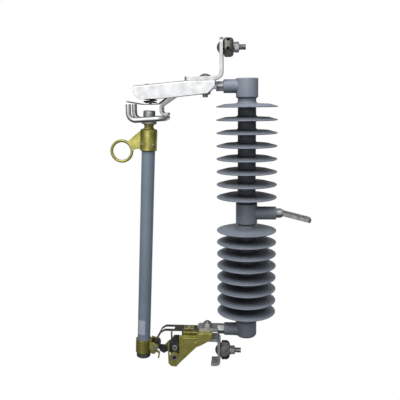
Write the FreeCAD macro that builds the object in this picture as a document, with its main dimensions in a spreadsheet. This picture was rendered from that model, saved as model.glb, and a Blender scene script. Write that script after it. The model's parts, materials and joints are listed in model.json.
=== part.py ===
"""Drop-out fuse cutout on a polymer insulator, shown with its fuse tube upright and no link.

X runs to the right across the face, Y away from the viewer and Z up. Every piece is drawn in
the insulator's own frame, whose Z axis is the insulator's axis and whose zero level is the
centre stub. Placements then move the origin to the middle of the hole in the mounting strap.
"""
import FreeCAD, Part
import math
import os
import re

import Sketcher
from FreeCAD import Placement, Rotation, Vector

# Driving sizes in millimetres and degrees

SIZES = {
    # weather housing
    "shed_radius": 54.5,
    "shed_rim": 2.2,
    "shed_root": 4.6,
    "shed_droop": 3.6,
    "shed_skirt": 15.0,
    "shed_knee": 2.8,
    "shed_count": 8,
    "upper_shed_first": 191.5,
    "upper_shed_pitch": 23.1,
    "lower_shed_first": 32.0,
    "lower_shed_pitch": 22.2,
    "neck_radius": 16.3,
    "hub_radius": 19.6,
    "hub_bevel": 2.4,
    "hub_round": 6.5,
    "top_hub_top": 240.7,
    "top_hub_height": 35.2,
    "centre_hub_half": 20.4,
    "bottom_hub_bottom": 238.0,
    "bottom_hub_height": 32.0,
    "hub_cover": 4.5,
    "arm_radius": 12.0,
    "arm_reach": 41.5,
    "arm_edge": 1.4,
    "centre_arm_reach": 53.5,
    "top_arm_level": 227.2,
    "bottom_arm_level": 225.2,
    # core rod and crimped fittings
    "core_radius": 8.0,
    "cup_radius": 13.0,
    "cup_depth": 28.0,
    "cup_floor": 6.0,
    "centre_cup_half": 14.0,
    "stub_radius": 7.0,
    "collar_flats": 17.0,
    "collar_length": 12.5,
    "tongue_length": 38.0,
    "tongue_width": 28.0,
    "tongue_thickness": 6.5,
    "tongue_offset": 1.4,
    "tongue_round": 6.0,
    "bolt_run": 73.5,
    # mounting strap
    "ferrule_radius": 8.7,
    "ferrule_length": 9.0,
    "weld_radius": 7.2,
    "weld_length": 3.0,
    "strap_tilt": 14.4,
    "strap_length": 52.0,
    "strap_width": 30.0,
    "strap_thickness": 6.0,
    "strap_end_round": 7.0,
    "hole_run": 33.0,
    "hole_radius": 7.0,
    # hood and upper terminal bar
    "hood_right": 55.5,
    "hood_bend": 98.5,
    "hood_left": 198.5,
    "hood_slope": 4.8,
    "hood_belly_run": 145.0,
    "hood_belly_level": 207.4,
    "hood_left_level": 205.4,
    "hood_right_level": 215.3,
    "hood_cheek_run": 68.0,
    "hood_cheek_level": 227.5,
    "hood_width": 44.0,
    "hood_wall": 3.0,
    "hood_nose_round": 16.0,
    "hood_edge_round": 4.0,
    "bar_width": 30.0,
    "upper_bar_thickness": 6.0,
    "upper_bar_left": 109.0,
    "upper_bar_face": 41.5,
    "upper_bar_top": 310.0,
    "upper_bar_bend": 9.0,
    "upper_bar_end_round": 11.0,
    "upper_stud_level": 293.3,
    # fasteners
    "bolt_radius": 4.9,
    "bolt_play": 0.6,
    "dome_radius": 11.2,
    "dome_height": 5.4,
    "low_dome_radius": 9.5,
    "low_dome_height": 3.6,
    "nut_flats": 16.0,
    "nut_height": 8.0,
    "bolt_out": 4.6,
    "washer_thickness": 1.6,
    "thread_play": 0.05,
    # upper contact, its spring and the load hook
    "strip_thickness": 1.6,
    "strip_width": 24.0,
    "strip_bend_round": 5.0,
    "spring_run": 172.0,
    "spring_radius": 11.4,
    "spring_wire": 2.3,
    "spring_turns": 5,
    "spring_seat_radius": 8.6,
    "spring_seat_height": 3.0,
    "rivet_run": 177.0,
    "rivet_radius": 2.4,
    "rivet_head_radius": 4.2,
    "rivet_head_height": 1.6,
    "hook_strap_thickness": 4.5,
    "hook_strap_width": 30.0,
    "hook_strap_run": 151.5,
    "hook_strap_elbow": 194.5,
    "hook_strap_bend": 96.0,
    "hook_strap_round": 6.0,
    "rod_radius": 4.7,
    "rod_spread": 27.5,
    "rod_left": 206.5,
    "rod_right": 143.6,
    "rod_level": 172.8,
    "rod_rise": 3.0,
    "horn_top": 198.0,
    "rod_corner": 13.0,
    # clamps at both terminals
    "jaw_reach": 18.0,
    "jaw_half": 12.6,
    "jaw_thickness": 9.0,
    "groove_radius": 3.0,
    "groove_offset": 8.1,
    "jaw_shoulder": 11.0,
    "stud_length": 39.0,
    "upper_clamp_turn": -17.0,
    "lower_clamp_turn": 62.0,
    # hinge casting, measured from the trunnion's pivot where it is fitted to it
    "pivot_run": 135.0,
    "pivot_drop": 274.5,
    "cheek_outer": 25.0,
    "cheek_thickness": 4.0,
    "bush_radius": 9.3,
    "running_play": 0.1,
    "lip_thickness": 3.2,
    "lip_top": 243.0,
    "cheek_top": 231.4,
    "cheek_step": 93.0,
    "hinge_step_run": 86.0,
    "hinge_right": 64.0,
    "hinge_end_height": 10.0,
    "deck_left": 119.0,
    "deck_thickness": 11.5,
    "deck_width": 30.0,
    "deck_block": 92.0,
    "block_height": 14.25,
    "rib_drop": 236.5,
    "rib_left": 120.0,
    "rib_height": 2.0,
    "rib_proud": 0.8,
    "nub_run": 93.6,
    "nub_drop": 245.5,
    "nub_radius": 2.6,
    "web_left": 112.0,
    "web_depth": 5.0,
    # lower terminal bar
    "lower_bar_thickness": 5.0,
    "lower_bar_left": 88.0,
    "lower_bar_face": 48.7,
    "lower_bar_bottom": 295.3,
    "lower_bar_foot": 66.3,
    "lower_bar_bend": 3.5,
    "lower_stud_drop": 268.5,
    # lower contact strap
    "contact_thickness": 2.0,
    "contact_width": 26.0,
    "contact_gap": 13.0,
    "contact_fork": 136.0,
    "contact_room": 2.0,
    "contact_round": 7.0,
    "post_run": 108.5,
    "post_half": 9.5,
    "post_width": 16.0,
    "post_thickness": 2.0,
    "screw_radius": 2.9,
    "screw_head_radius": 4.2,
    "screw_head_height": 1.4,
    "low_nut_height": 10.0,
    "low_nut_flange": 10.0,
    # trunnion
    "toggle_run": 172.0,
    "toggle_drop": 259.2,
    "boss_radius": 7.0,
    "boss_width": 18.0,
    "block_width": 36.0,
    "pivot_pin_radius": 5.6,
    "pivot_pin_half": 26.5,
    "toggle_pin_radius": 3.6,
    "pin_hollow": 3.4,
    "tail_screw_run": 134.5,
    "tail_screw_drop": 257.5,
    "tail_nut_flats": 10.0,
    "tail_nut_height": 2.4,
    # fuse tube, in a frame on its own axis that leans with its foot to the left
    "tube_lean": 3.0,
    "tube_offset": 25.5,
    "tube_radius": 12.25,
    "tube_bore": 8.5,
    "liner_bore": 6.2,
    "tube_foot": 27.0,
    "tube_head": 405.0,
    "sleeve_radius": 15.4,
    "lower_sleeve_bottom": 18.3,
    "lower_sleeve_top": 8.6,
    "lug_radius": 5.6,
    "lug_inner": 10.0,
    "lug_outer": 16.0,
    "end_ring_radius": 13.4,
    "upper_sleeve_bottom": 372.5,
    "upper_sleeve_top": 412.0,
    "sleeve_round": 3.5,
    "cap_neck_radius": 9.4,
    "cap_stud_radius": 7.6,
    "flange_radius": 13.6,
    "flange_bottom": 420.6,
    "flange_top": 427.2,
    "button_radius": 10.8,
    "button_top": 444.8,
    "button_round": 2.6,
    "ring_offset": 48.8,
    "ring_level": 369.8,
    "ring_radius": 18.6,
    "ring_section": 2.65,
    "web_thickness": 5.0,
    "pin_level": 384.5,
    "pin_radius": 2.3,
    "pin_proud": 0.9,
    # link ejector
    "ejector_left": 6.0,
    "ejector_below": 14.4,
    "ear_radius": 4.4,
    "ear_inner": 3.0,
    "ear_outer": 6.4,
    "ejector_pin_radius": 1.8,
    "ejector_hub_radius": 3.9,
    "ejector_half": 2.6,
    "side_play": 0.3,
}

doc = FreeCAD.newDocument("FuseCutout")
sheet = doc.addObject("Spreadsheet::Sheet", "Sizes")
for row, (alias, number) in enumerate(SIZES.items(), start=1):
    sheet.set(f"A{row}", alias)
    sheet.set(f"B{row}", str(number))
    sheet.setAlias(f"B{row}", alias)
doc.recompute()

WORDS = re.compile(r"[a-z_]+")

# Above this share of a radius, half the chord of an arc is taken for a half circle
HALF_CIRCLE = 0.9995


def bound(text):
    """Return an expression in which each size's name points at its cell."""
    return WORDS.sub(lambda word: "Sizes." + word.group() if word.group() in SIZES else word.group(), text)


def value(text):
    """Return the number that an expression of size names gives."""
    return float(sheet.evalExpression(bound(text)))


# Distances that several pieces share, each worked out from the sizes above

HOLE_X = "(arm_start + hole_run * cos(strap_tilt))".replace(
    "arm_start", "(centre_arm_reach + ferrule_length + weld_length)")
HOLE_Z = "(-hole_run * sin(strap_tilt))"
TONGUE_TOP = "(top_arm_level - tongue_offset + tongue_thickness / 2)"
TONGUE_BOTTOM = "(top_arm_level - tongue_offset - tongue_thickness / 2)"
LOW_TONGUE_TOP = "(-bottom_arm_level + tongue_offset + tongue_thickness / 2)"
LOW_TONGUE_BOTTOM = "(-bottom_arm_level + tongue_offset - tongue_thickness / 2)"
HOOK_LEG_TOP = f"({TONGUE_TOP} + hook_strap_thickness)"
STRIP_TOP = f"({HOOK_LEG_TOP} + strip_thickness)"
ROOF_TOP = f"({STRIP_TOP} + hood_wall)"
UPPER_BAR_TOP_FACE = f"({ROOF_TOP} + upper_bar_thickness)"
COLLAR_END = "(arm_reach + collar_length)"
SLOT_HALF = "(bush_radius + running_play)"
CHEEK_INNER = "(cheek_outer - cheek_thickness)"
BOLT_HOLE = "(bolt_radius + bolt_play)"
ROOF_LEFT = f"({ROOF_TOP} - (hood_left - hood_bend) * tan(hood_slope))"
ROOF_OVER_SPRING = f"({ROOF_TOP} - (spring_run - hood_bend) * tan(hood_slope) - hood_wall)"
ROOF_OVER_RIVET = f"({ROOF_TOP} - (rivet_run - hood_bend) * tan(hood_slope))"
CONTACT_TOP = f"({LOW_TONGUE_BOTTOM} + contact_thickness)"
BAR_LEVEL = f"({LOW_TONGUE_BOTTOM} - block_height)"
TUBE_X = "(-toggle_run - tube_offset * cos(tube_lean))"
TUBE_Z = "(-toggle_drop + tube_offset * sin(tube_lean))"
EJECTOR_X = "(-toggle_run - ejector_left)"
EJECTOR_Z = "(-toggle_drop - ejector_below)"

PARTS = []


def place(piece, x="0", z="0", y="0", turn="0", axis=(0, 1, 0)):
    """Put a finished piece in the hole's frame and list it for writing."""
    piece.Placement = Placement(Vector(0, 0, 0), Rotation(Vector(*axis), value(turn)))
    piece.setExpression(".Placement.Base.x", bound(f"{x} - {HOLE_X}"))
    piece.setExpression(".Placement.Base.y", bound(y))
    piece.setExpression(".Placement.Base.z", bound(f"{z} - {HOLE_Z}"))
    PARTS.append(piece)
    return piece


def new_body(name):
    """Start a body with a name of its own."""
    body = doc.addObject("PartDesign::Body", name)
    body.Label = name
    return body


def sketch_on(body, role, offset="0", turn=0.0):
    """Attach a sketch to one of the body's origin planes, lifted or turned about the sketch's Y."""
    sketch = body.newObject("Sketcher::SketchObject", body.Name + "_sketch")
    plane = next(item for item in body.Origin.OriginFeatures if item.Role == role)
    sketch.AttachmentSupport = (plane, [""])
    sketch.MapMode = "FlatFace"
    sketch.AttachmentOffset = Placement(Vector(0, 0, 0), Rotation(Vector(0, 1, 0), turn))
    if offset != "0":
        sketch.setExpression(".AttachmentOffset.Base.z", bound(offset))
    return sketch


def fix_distance(sketch, item, which, kind, text):
    """Hold one point of a sketch item at one bound distance from the origin."""
    number = sketch.addConstraint(Sketcher.Constraint(kind, -1, 1, item, which, value(text)))
    sketch.setExpression(f"Constraints[{number}]", bound(text))


def fix_point(sketch, item, which, x, y):
    """Hold one end or centre of a sketch item at two bound distances from the origin."""
    fix_distance(sketch, item, which, "DistanceX", x)
    fix_distance(sketch, item, which, "DistanceY", y)


def outline(sketch, points):
    """Draw a closed outline.

    A point is (x, y), or (x, y, radius, way) where the stretch that reaches it is an arc:
    way is 1 for an arc that runs counter-clockwise and -1 for one that runs clockwise.
    """
    joints = []
    for index, point in enumerate(points):
        before = points[index - 1]
        start = Vector(value(before[0]), value(before[1]), 0)
        end = Vector(value(point[0]), value(point[1]), 0)
        if len(point) == 2:
            item = sketch.addGeometry(Part.LineSegment(start, end))
            joints.append((item, 1, 2))
            continue
        radius = value(point[2])
        way = point[3]
        chord = end - start
        rise = math.sqrt(max(radius ** 2 - (chord.Length / 2) ** 2, 0.0))
        side = Vector(-chord.y, chord.x, 0).normalize() * way
        centre = (start + end) / 2 + side * rise
        first, last = (start, end) if way > 0 else (end, start)
        angles = [math.atan2(spot.y - centre.y, spot.x - centre.x) for spot in (first, last)]
        circle = Part.Circle(centre, Vector(0, 0, 1), radius)
        item = sketch.addGeometry(Part.ArcOfCircle(circle, *angles))
        if chord.Length / 2 < radius * HALF_CIRCLE:
            number = sketch.addConstraint(Sketcher.Constraint("Radius", item, radius))
            sketch.setExpression(f"Constraints[{number}]", bound(point[2]))
        elif abs(chord.x) > abs(chord.y):
            fix_distance(sketch, item, 3, "DistanceY", point[1])
        else:
            fix_distance(sketch, item, 3, "DistanceX", point[0])
        joints.append((item, 1, 2) if way > 0 else (item, 2, 1))
    for index, (item, _, end) in enumerate(joints):
        following = joints[(index + 1) % len(joints)]
        sketch.addConstraint(Sketcher.Constraint("Coincident", item, end, following[0], following[1]))
        fix_point(sketch, item, end, points[index][0], points[index][1])
    return sketch


def circle(sketch, x, y, radius):
    """Draw a circle with a bound centre and radius."""
    item = sketch.addGeometry(Part.Circle(Vector(value(x), value(y), 0), Vector(0, 0, 1), value(radius)))
    fix_point(sketch, item, 3, x, y)
    number = sketch.addConstraint(Sketcher.Constraint("Radius", item, value(radius)))
    sketch.setExpression(f"Constraints[{number}]", bound(radius))
    return sketch


def hexagon(sketch, flats, x="0", y="0"):
    """Draw a hexagon with two flats level, given the distance across its flats."""
    corners = []
    for step in range(6):
        across = f"({flats}) / sqrt(3)"
        corners.append((f"{x} + {across} * cos({60 * step})", f"{y} + {across} * sin({60 * step})"))
    return outline(sketch, corners)


def pad(body, sketch, length, symmetric=True, backwards=False):
    """Add the sketch's area to the body as a bar."""
    feature = body.newObject("PartDesign::Pad", body.Name + "_pad")
    feature.Profile = sketch
    feature.SideType = "Symmetric" if symmetric else "One side"
    feature.setExpression("Length", bound(length))
    feature.Reversed = backwards
    body.Tip = feature
    return feature


def pocket(body, sketch, length=None, symmetric=True, backwards=False):
    """Cut the sketch's area out of the body, right through unless a length is given."""
    feature = body.newObject("PartDesign::Pocket", body.Name + "_pocket")
    feature.Profile = sketch
    feature.SideType = "Symmetric" if symmetric else "One side"
    feature.Reversed = backwards
    if length is None:
        feature.Type = "ThroughAll"
    else:
        feature.setExpression("Length", bound(length))
    body.Tip = feature
    return feature


def turned(body, sketch, axis="V_Axis", cut=False):
    """Turn the sketch's area about its own axis, as added or as removed material."""
    kind = "Groove" if cut else "Revolution"
    feature = body.newObject("PartDesign::" + kind, body.Name + "_" + kind.lower())
    feature.Profile = sketch
    feature.ReferenceAxis = (sketch, [axis])
    feature.Angle = 360.0
    body.Tip = feature
    return feature


def repeated(body, feature, pitch, count, role="Z_Axis", backwards=True):
    """Repeat a feature along one of the body's axes."""
    axis = next(item for item in body.Origin.OriginFeatures if item.Role == role)
    pattern = body.newObject("PartDesign::LinearPattern", body.Name + "_pattern")
    pattern.Originals = [feature]
    pattern.Direction = (axis, [""])
    pattern.Reversed = backwards
    pattern.setExpression("Length", bound(f"({pitch}) * (({count}) - 1)"))
    pattern.setExpression("Occurrences", bound(count))
    body.Tip = pattern
    return pattern


def rounded(body, radius, **spot):
    """Round the straight edges on which the named coordinates have the given values."""
    doc.recompute()
    wanted = {axis: value(text) for axis, text in spot.items()}
    names = []
    for index, edge in enumerate(body.Tip.Shape.Edges, start=1):
        ends = [vertex.Point for vertex in edge.Vertexes]
        if len(ends) == 2 and all(
                abs(getattr(end, axis) - number) < 1e-4 for end in ends for axis, number in wanted.items()):
            names.append(f"Edge{index}")
    base = body.Tip
    fillet = body.newObject("PartDesign::Fillet", body.Name + "_round")
    fillet.Base = (base, names)
    fillet.setExpression("Radius", bound(radius))
    body.Tip = fillet
    return fillet


def bent_path(points, radius):
    """Return a wire of straight runs joined by arcs of one radius, shorter where a run is short."""
    corners = [Vector(*point) for point in points]
    edges = []
    here = corners[0]
    for index in range(1, len(corners) - 1):
        corner = corners[index]
        back = (corners[index - 1] - corner).normalize()
        ahead = (corners[index + 1] - corner).normalize()
        half = math.acos(max(-1.0, min(1.0, back.dot(ahead)))) / 2
        room = 0.45 * min((corners[index - 1] - corner).Length, (corners[index + 1] - corner).Length)
        trim = min(radius / math.tan(half), room)
        first = corner + back * trim
        last = corner + ahead * trim
        bulge = trim / math.cos(half) - trim * math.tan(half)
        middle = corner + (back + ahead).normalize() * bulge
        edges.append(Part.makeLine(here, first))
        edges.append(Part.Arc(first, middle, last).toShape())
        here = last
    edges.append(Part.makeLine(here, corners[-1]))
    return Part.Wire(edges)


def swept(path, section):
    """Sweep a section wire along a path."""
    return path.makePipeShell([section], True, False)


def flat_section(start, along, width, thickness):
    """Return a rectangle across a path in the XZ plane: width lies along Y."""
    across = Vector(0, 1, 0)
    up = across.cross(Vector(*along).normalize())
    corners = []
    for side, rise in ((-1, -1), (1, -1), (1, 1), (-1, 1)):
        corners.append(Vector(*start) + across * (side * width / 2) + up * (rise * thickness / 2))
    return Part.makePolygon(corners + corners[:1])


def bent_strip(points, radius, width, thickness):
    """Return a flat strip bent along points given as (x, z)."""
    route = [(x, 0.0, z) for x, z in points]
    along = Vector(*route[1]) - Vector(*route[0])
    return swept(bent_path(route, radius), flat_section(route[0], along, width, thickness))


def feature(name, shape):
    """Put a shape made in code into the document under a name of its own."""
    item = doc.addObject("Part::Feature", name)
    item.Label = name
    item.Shape = shape
    return item


# Weather housing: one moulding with three hubs, their arms and two stacks of sheds


def add_sheds(body, first, pitch):
    """Turn the top shed of a stack and repeat it downwards."""
    root = f"({first}) + shed_droop"
    sketch = outline(sketch_on(body, "XZ_Plane"), [
        ("neck_radius - 1", f"{root} - shed_root / 2 - 1.5"),
        ("neck_radius + 3", f"{root} - shed_root / 2"),
        ("shed_radius - shed_skirt", f"{root} - shed_knee / 2"),
        ("shed_radius - shed_rim / 2", f"{first} - shed_rim / 2"),
        ("shed_radius - shed_rim / 2", f"{first} + shed_rim / 2", "shed_rim / 2 + 0.01", 1),
        ("shed_radius - shed_skirt", f"{root} + shed_knee / 2"),
        ("neck_radius + 3", f"{root} + shed_root / 2"),
        ("neck_radius - 1", f"{root} + shed_root / 2 + 1.5"),
    ])
    shed = turned(body, sketch)
    return repeated(body, shed, pitch, "shed_count")


housing = new_body("insulator_housing")
top_step = "top_hub_top - top_hub_height"
low_step = "-bottom_hub_bottom + bottom_hub_height"
turned(housing, outline(sketch_on(housing, "XZ_Plane"), [
    ("0", "-bottom_hub_bottom"),
    ("hub_radius - hub_round", "-bottom_hub_bottom"),
    ("hub_radius", "-bottom_hub_bottom + hub_round", "hub_round", 1),
    ("hub_radius", f"{low_step} - hub_bevel"),
    ("neck_radius", low_step),
    ("neck_radius", "-centre_hub_half"),
    ("hub_radius", "-centre_hub_half + hub_bevel"),
    ("hub_radius", "centre_hub_half - hub_bevel"),
    ("neck_radius", "centre_hub_half"),
    ("neck_radius", top_step),
    ("hub_radius", f"{top_step} + hub_bevel"),
    ("hub_radius", "top_hub_top - hub_bevel"),
    ("hub_radius - hub_bevel", "top_hub_top", "hub_bevel", 1),
    ("0", "top_hub_top"),
]))
add_sheds(housing, "upper_shed_first", "upper_shed_pitch")
add_sheds(housing, "-lower_shed_first", "lower_shed_pitch")
for level, reach, left in (("top_arm_level", "arm_reach", True), ("-bottom_arm_level", "arm_reach", True),
                           ("0", "centre_arm_reach", False)):
    pad(housing, circle(sketch_on(housing, "YZ_Plane"), "0", level, "arm_radius"), reach, False, left)
turned(housing, outline(sketch_on(housing, "XZ_Plane"), [
    ("0", "-bottom_hub_bottom + hub_cover"),
    ("cup_radius", "-bottom_hub_bottom + hub_cover"),
    ("cup_radius", "-bottom_hub_bottom + hub_cover + cup_depth"),
    ("core_radius", "-bottom_hub_bottom + hub_cover + cup_depth"),
    ("core_radius", "-centre_cup_half"),
    ("cup_radius", "-centre_cup_half"),
    ("cup_radius", "centre_cup_half"),
    ("core_radius", "centre_cup_half"),
    ("core_radius", "top_hub_top - hub_cover - cup_depth"),
    ("cup_radius", "top_hub_top - hub_cover - cup_depth"),
    ("cup_radius", "top_hub_top - hub_cover"),
    ("0", "top_hub_top - hub_cover"),
]), cut=True)
for level, reach, left in (("top_arm_level", "arm_reach", True), ("-bottom_arm_level", "arm_reach", True),
                           ("0", "centre_arm_reach", False)):
    pocket(housing, circle(sketch_on(housing, "YZ_Plane"), "0", level, "stub_radius"), reach, False, not left)
place(housing)

rod = new_body("core_rod")
pad(rod, circle(sketch_on(rod, "XY_Plane", "-bottom_hub_bottom + hub_cover + cup_floor"), "0", "0",
                "core_radius"),
    "top_hub_top + bottom_hub_bottom - 2 * (hub_cover + cup_floor)", False)
place(rod)

# End fittings: a cup crimped on the rod, a stub through the arm, a hexagon collar and a tongue


def end_fitting(name, cup_from, cup_to, floor_at_top, level, tongue_level):
    """Build the forged fitting of one end of the insulator."""
    body = new_body(name)
    pad(body, circle(sketch_on(body, "XY_Plane", cup_from), "0", "0", "cup_radius"),
        f"({cup_to}) - ({cup_from})", False)
    pad(body, circle(sketch_on(body, "YZ_Plane"), "0", level, "stub_radius"), "arm_reach", False, True)
    pad(body, hexagon(sketch_on(body, "YZ_Plane", "-arm_reach"), "collar_flats", "0", level),
        "collar_length", False, True)
    pad(body, outline(sketch_on(body, "XZ_Plane"), [
        (f"-{COLLAR_END} + 1", f"{tongue_level} - tongue_thickness / 2"),
        (f"-{COLLAR_END} + 1", f"{tongue_level} + tongue_thickness / 2"),
        (f"-{COLLAR_END} - tongue_length", f"{tongue_level} + tongue_thickness / 2"),
        (f"-{COLLAR_END} - tongue_length", f"{tongue_level} - tongue_thickness / 2"),
    ]), "tongue_width")
    rounded(body, "tongue_round", x=f"-{COLLAR_END} - tongue_length", y="tongue_width / 2")
    rounded(body, "tongue_round", x=f"-{COLLAR_END} - tongue_length", y="-tongue_width / 2")
    pocket(body, circle(sketch_on(body, "XY_Plane"), "-bolt_run", "0", BOLT_HOLE))
    bore_from = cup_from if floor_at_top else f"({cup_from}) + cup_floor"
    pocket(body, circle(sketch_on(body, "XY_Plane", bore_from), "0", "0", "core_radius"),
           "cup_depth - cup_floor", False, True)
    return place(body)


end_fitting("top_fitting", "top_hub_top - hub_cover - cup_depth", "top_hub_top - hub_cover", True,
            "top_arm_level", "top_arm_level - tongue_offset")
end_fitting("bottom_fitting", "-bottom_hub_bottom + hub_cover",
            "-bottom_hub_bottom + hub_cover + cup_depth", False,
            "-bottom_arm_level", "-bottom_arm_level + tongue_offset")

centre = new_body("centre_fitting")
pad(centre, circle(sketch_on(centre, "XY_Plane"), "0", "0", "cup_radius"), "2 * centre_cup_half")
pad(centre, circle(sketch_on(centre, "YZ_Plane"), "0", "0", "stub_radius"), "centre_arm_reach", False)
pad(centre, circle(sketch_on(centre, "YZ_Plane", "centre_arm_reach"), "0", "0", "ferrule_radius"),
    "ferrule_length", False)
pad(centre, circle(sketch_on(centre, "YZ_Plane", "centre_arm_reach + ferrule_length"), "0", "0",
                   "weld_radius"),
    "weld_length", False)
pocket(centre, circle(sketch_on(centre, "XY_Plane"), "0", "0", "core_radius"))
place(centre)

strap = new_body("mounting_strap")
slant = "strap_thickness / 2 * tan(strap_tilt)"
pad(strap, outline(sketch_on(strap, "XZ_Plane"), [
    (slant, "-strap_thickness / 2"),
    ("strap_length", "-strap_thickness / 2"),
    ("strap_length", "strap_thickness / 2"),
    (f"-({slant})", "strap_thickness / 2"),
]), "strap_width")
rounded(strap, "strap_end_round", x="strap_length", y="strap_width / 2")
rounded(strap, "strap_end_round", x="strap_length", y="-strap_width / 2")
pocket(strap, circle(sketch_on(strap, "XY_Plane"), "hole_run", "0", "hole_radius"))
place(strap, "centre_arm_reach + ferrule_length + weld_length", turn="strap_tilt")

# Hood: a pressed channel, open below and at both ends

hood = new_body("hood")
pad(hood, outline(sketch_on(hood, "XZ_Plane"), [
    ("-hood_right", ROOF_TOP),
    ("-hood_bend", ROOF_TOP),
    ("-hood_left", ROOF_LEFT),
    ("-hood_left", "hood_left_level"),
    ("-hood_belly_run", "hood_belly_level"),
    ("-hood_cheek_run", "hood_right_level"),
    ("-hood_right", "hood_cheek_level"),
]), "hood_width")
rounded(hood, "hood_nose_round", x="-hood_left", z="hood_left_level")
for side in ("", "-"):
    edge_y = f"{side}hood_width / 2"
    rounded(hood, "hood_edge_round", y=edge_y, z=ROOF_TOP)
pocket(hood, outline(sketch_on(hood, "XZ_Plane"), [
    ("-hood_right + 5", f"{ROOF_TOP} - hood_wall"),
    ("-hood_bend", f"{ROOF_TOP} - hood_wall"),
    ("-hood_left - 5", f"{ROOF_TOP} - hood_wall - (hood_left + 5 - hood_bend) * tan(hood_slope)"),
    ("-hood_left - 5", "hood_left_level - 20"),
    ("-hood_right + 5", "hood_left_level - 20"),
]), "hood_width - 2 * hood_wall")
holes = sketch_on(hood, "XY_Plane")
circle(holes, "-bolt_run", "0", BOLT_HOLE)
circle(holes, "-rivet_run", "0", "rivet_radius")
pocket(hood, holes)
place(hood)

# Terminal bars: flat bar bent to right angles

upper_bar = new_body("upper_terminal_bar")
pad(upper_bar, outline(sketch_on(upper_bar, "XZ_Plane"), [
    ("-upper_bar_left", ROOF_TOP),
    ("-upper_bar_face", ROOF_TOP),
    ("-upper_bar_face", "upper_bar_top"),
    ("-upper_bar_face - upper_bar_thickness", "upper_bar_top"),
    ("-upper_bar_face - upper_bar_thickness", UPPER_BAR_TOP_FACE),
    ("-upper_bar_left", UPPER_BAR_TOP_FACE),
]), "bar_width")
rounded(upper_bar, "upper_bar_bend + upper_bar_thickness", x="-upper_bar_face", z=ROOF_TOP)
rounded(upper_bar, "upper_bar_bend", x="-upper_bar_face - upper_bar_thickness", z=UPPER_BAR_TOP_FACE)
for side in ("", "-"):
    rounded(upper_bar, "upper_bar_end_round", y=f"{side}bar_width / 2", z="upper_bar_top")
    rounded(upper_bar, "upper_bar_end_round / 2", x="-upper_bar_left", y=f"{side}bar_width / 2")
pocket(upper_bar, circle(sketch_on(upper_bar, "XY_Plane"), "-bolt_run", "0", BOLT_HOLE))
pocket(upper_bar, circle(sketch_on(upper_bar, "YZ_Plane"), "0", "upper_stud_level", BOLT_HOLE))
place(upper_bar)

lower_bar = new_body("lower_terminal_bar")
pad(lower_bar, outline(sketch_on(lower_bar, "XZ_Plane"), [
    ("-lower_bar_left", BAR_LEVEL),
    ("-lower_bar_left", f"{BAR_LEVEL} - lower_bar_thickness"),
    ("-lower_bar_face - lower_bar_thickness", f"{BAR_LEVEL} - lower_bar_thickness"),
    ("-lower_bar_face - lower_bar_thickness", "-lower_bar_bottom + lower_bar_thickness"),
    ("-lower_bar_foot", "-lower_bar_bottom + lower_bar_thickness"),
    ("-lower_bar_foot", "-lower_bar_bottom"),
    ("-lower_bar_face", "-lower_bar_bottom"),
    ("-lower_bar_face", BAR_LEVEL),
]), "bar_width")
lower_inner = "-lower_bar_face - lower_bar_thickness"
rounded(lower_bar, "lower_bar_bend + lower_bar_thickness", x="-lower_bar_face", z=BAR_LEVEL)
rounded(lower_bar, "lower_bar_bend + lower_bar_thickness", x="-lower_bar_face", z="-lower_bar_bottom")
rounded(lower_bar, "lower_bar_bend", x=lower_inner, z=f"{BAR_LEVEL} - lower_bar_thickness")
rounded(lower_bar, "lower_bar_bend", x=lower_inner, z="-lower_bar_bottom + lower_bar_thickness")
pocket(lower_bar, circle(sketch_on(lower_bar, "XY_Plane"), "-bolt_run", "0", BOLT_HOLE),
       f"2 * lower_bar_thickness + 4 - 2 * {BAR_LEVEL}")
pocket(lower_bar, circle(sketch_on(lower_bar, "YZ_Plane"), "0", "-lower_stud_drop", BOLT_HOLE))
place(lower_bar)

# Fasteners


def dome_bolt(name, length, head_radius, head_height):
    """Build a bolt with a domed head on top of zero and its shank below."""
    body = new_body(name)
    turned(body, outline(sketch_on(body, "XZ_Plane"), [
        ("0", f"-({length})"),
        ("bolt_radius - 0.8", f"-({length})"),
        ("bolt_radius", f"-({length}) + 0.8"),
        ("bolt_radius", "0"),
        (head_radius, "0"),
        ("0", head_height, f"(({head_radius}) ^ 2 + {head_height} ^ 2) / (2 * {head_height})", 1),
    ]))
    return body


def hex_nut(name, flats, height, bore):
    """Build a nut that stands on zero."""
    body = new_body(name)
    sketch = sketch_on(body, "XY_Plane")
    hexagon(sketch, flats)
    circle(sketch, "0", "0", bore)
    pad(body, sketch, height, False)
    return body


NUT_BORE = "bolt_radius + thread_play"
hood_nut_top = f"({TONGUE_BOTTOM} - washer_thickness)"
hood_bolt = dome_bolt("hood_bolt",
                      f"{UPPER_BAR_TOP_FACE} - {hood_nut_top} + nut_height + bolt_out",
                      "dome_radius", "dome_height")
place(hood_bolt, "-bolt_run", UPPER_BAR_TOP_FACE)
place(hex_nut("hood_nut", "nut_flats", "nut_height", NUT_BORE), "-bolt_run", f"{hood_nut_top} - nut_height")


def lock_washer(name, outer):
    """Build a spring washer that lies on zero."""
    body = new_body(name)
    sketch = sketch_on(body, "XY_Plane")
    circle(sketch, "0", "0", outer)
    circle(sketch, "0", "0", BOLT_HOLE)
    pad(body, sketch, "washer_thickness", False)
    return body


place(lock_washer("hood_washer", "nut_flats / 2 + 0.6"), "-bolt_run", hood_nut_top)

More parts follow.
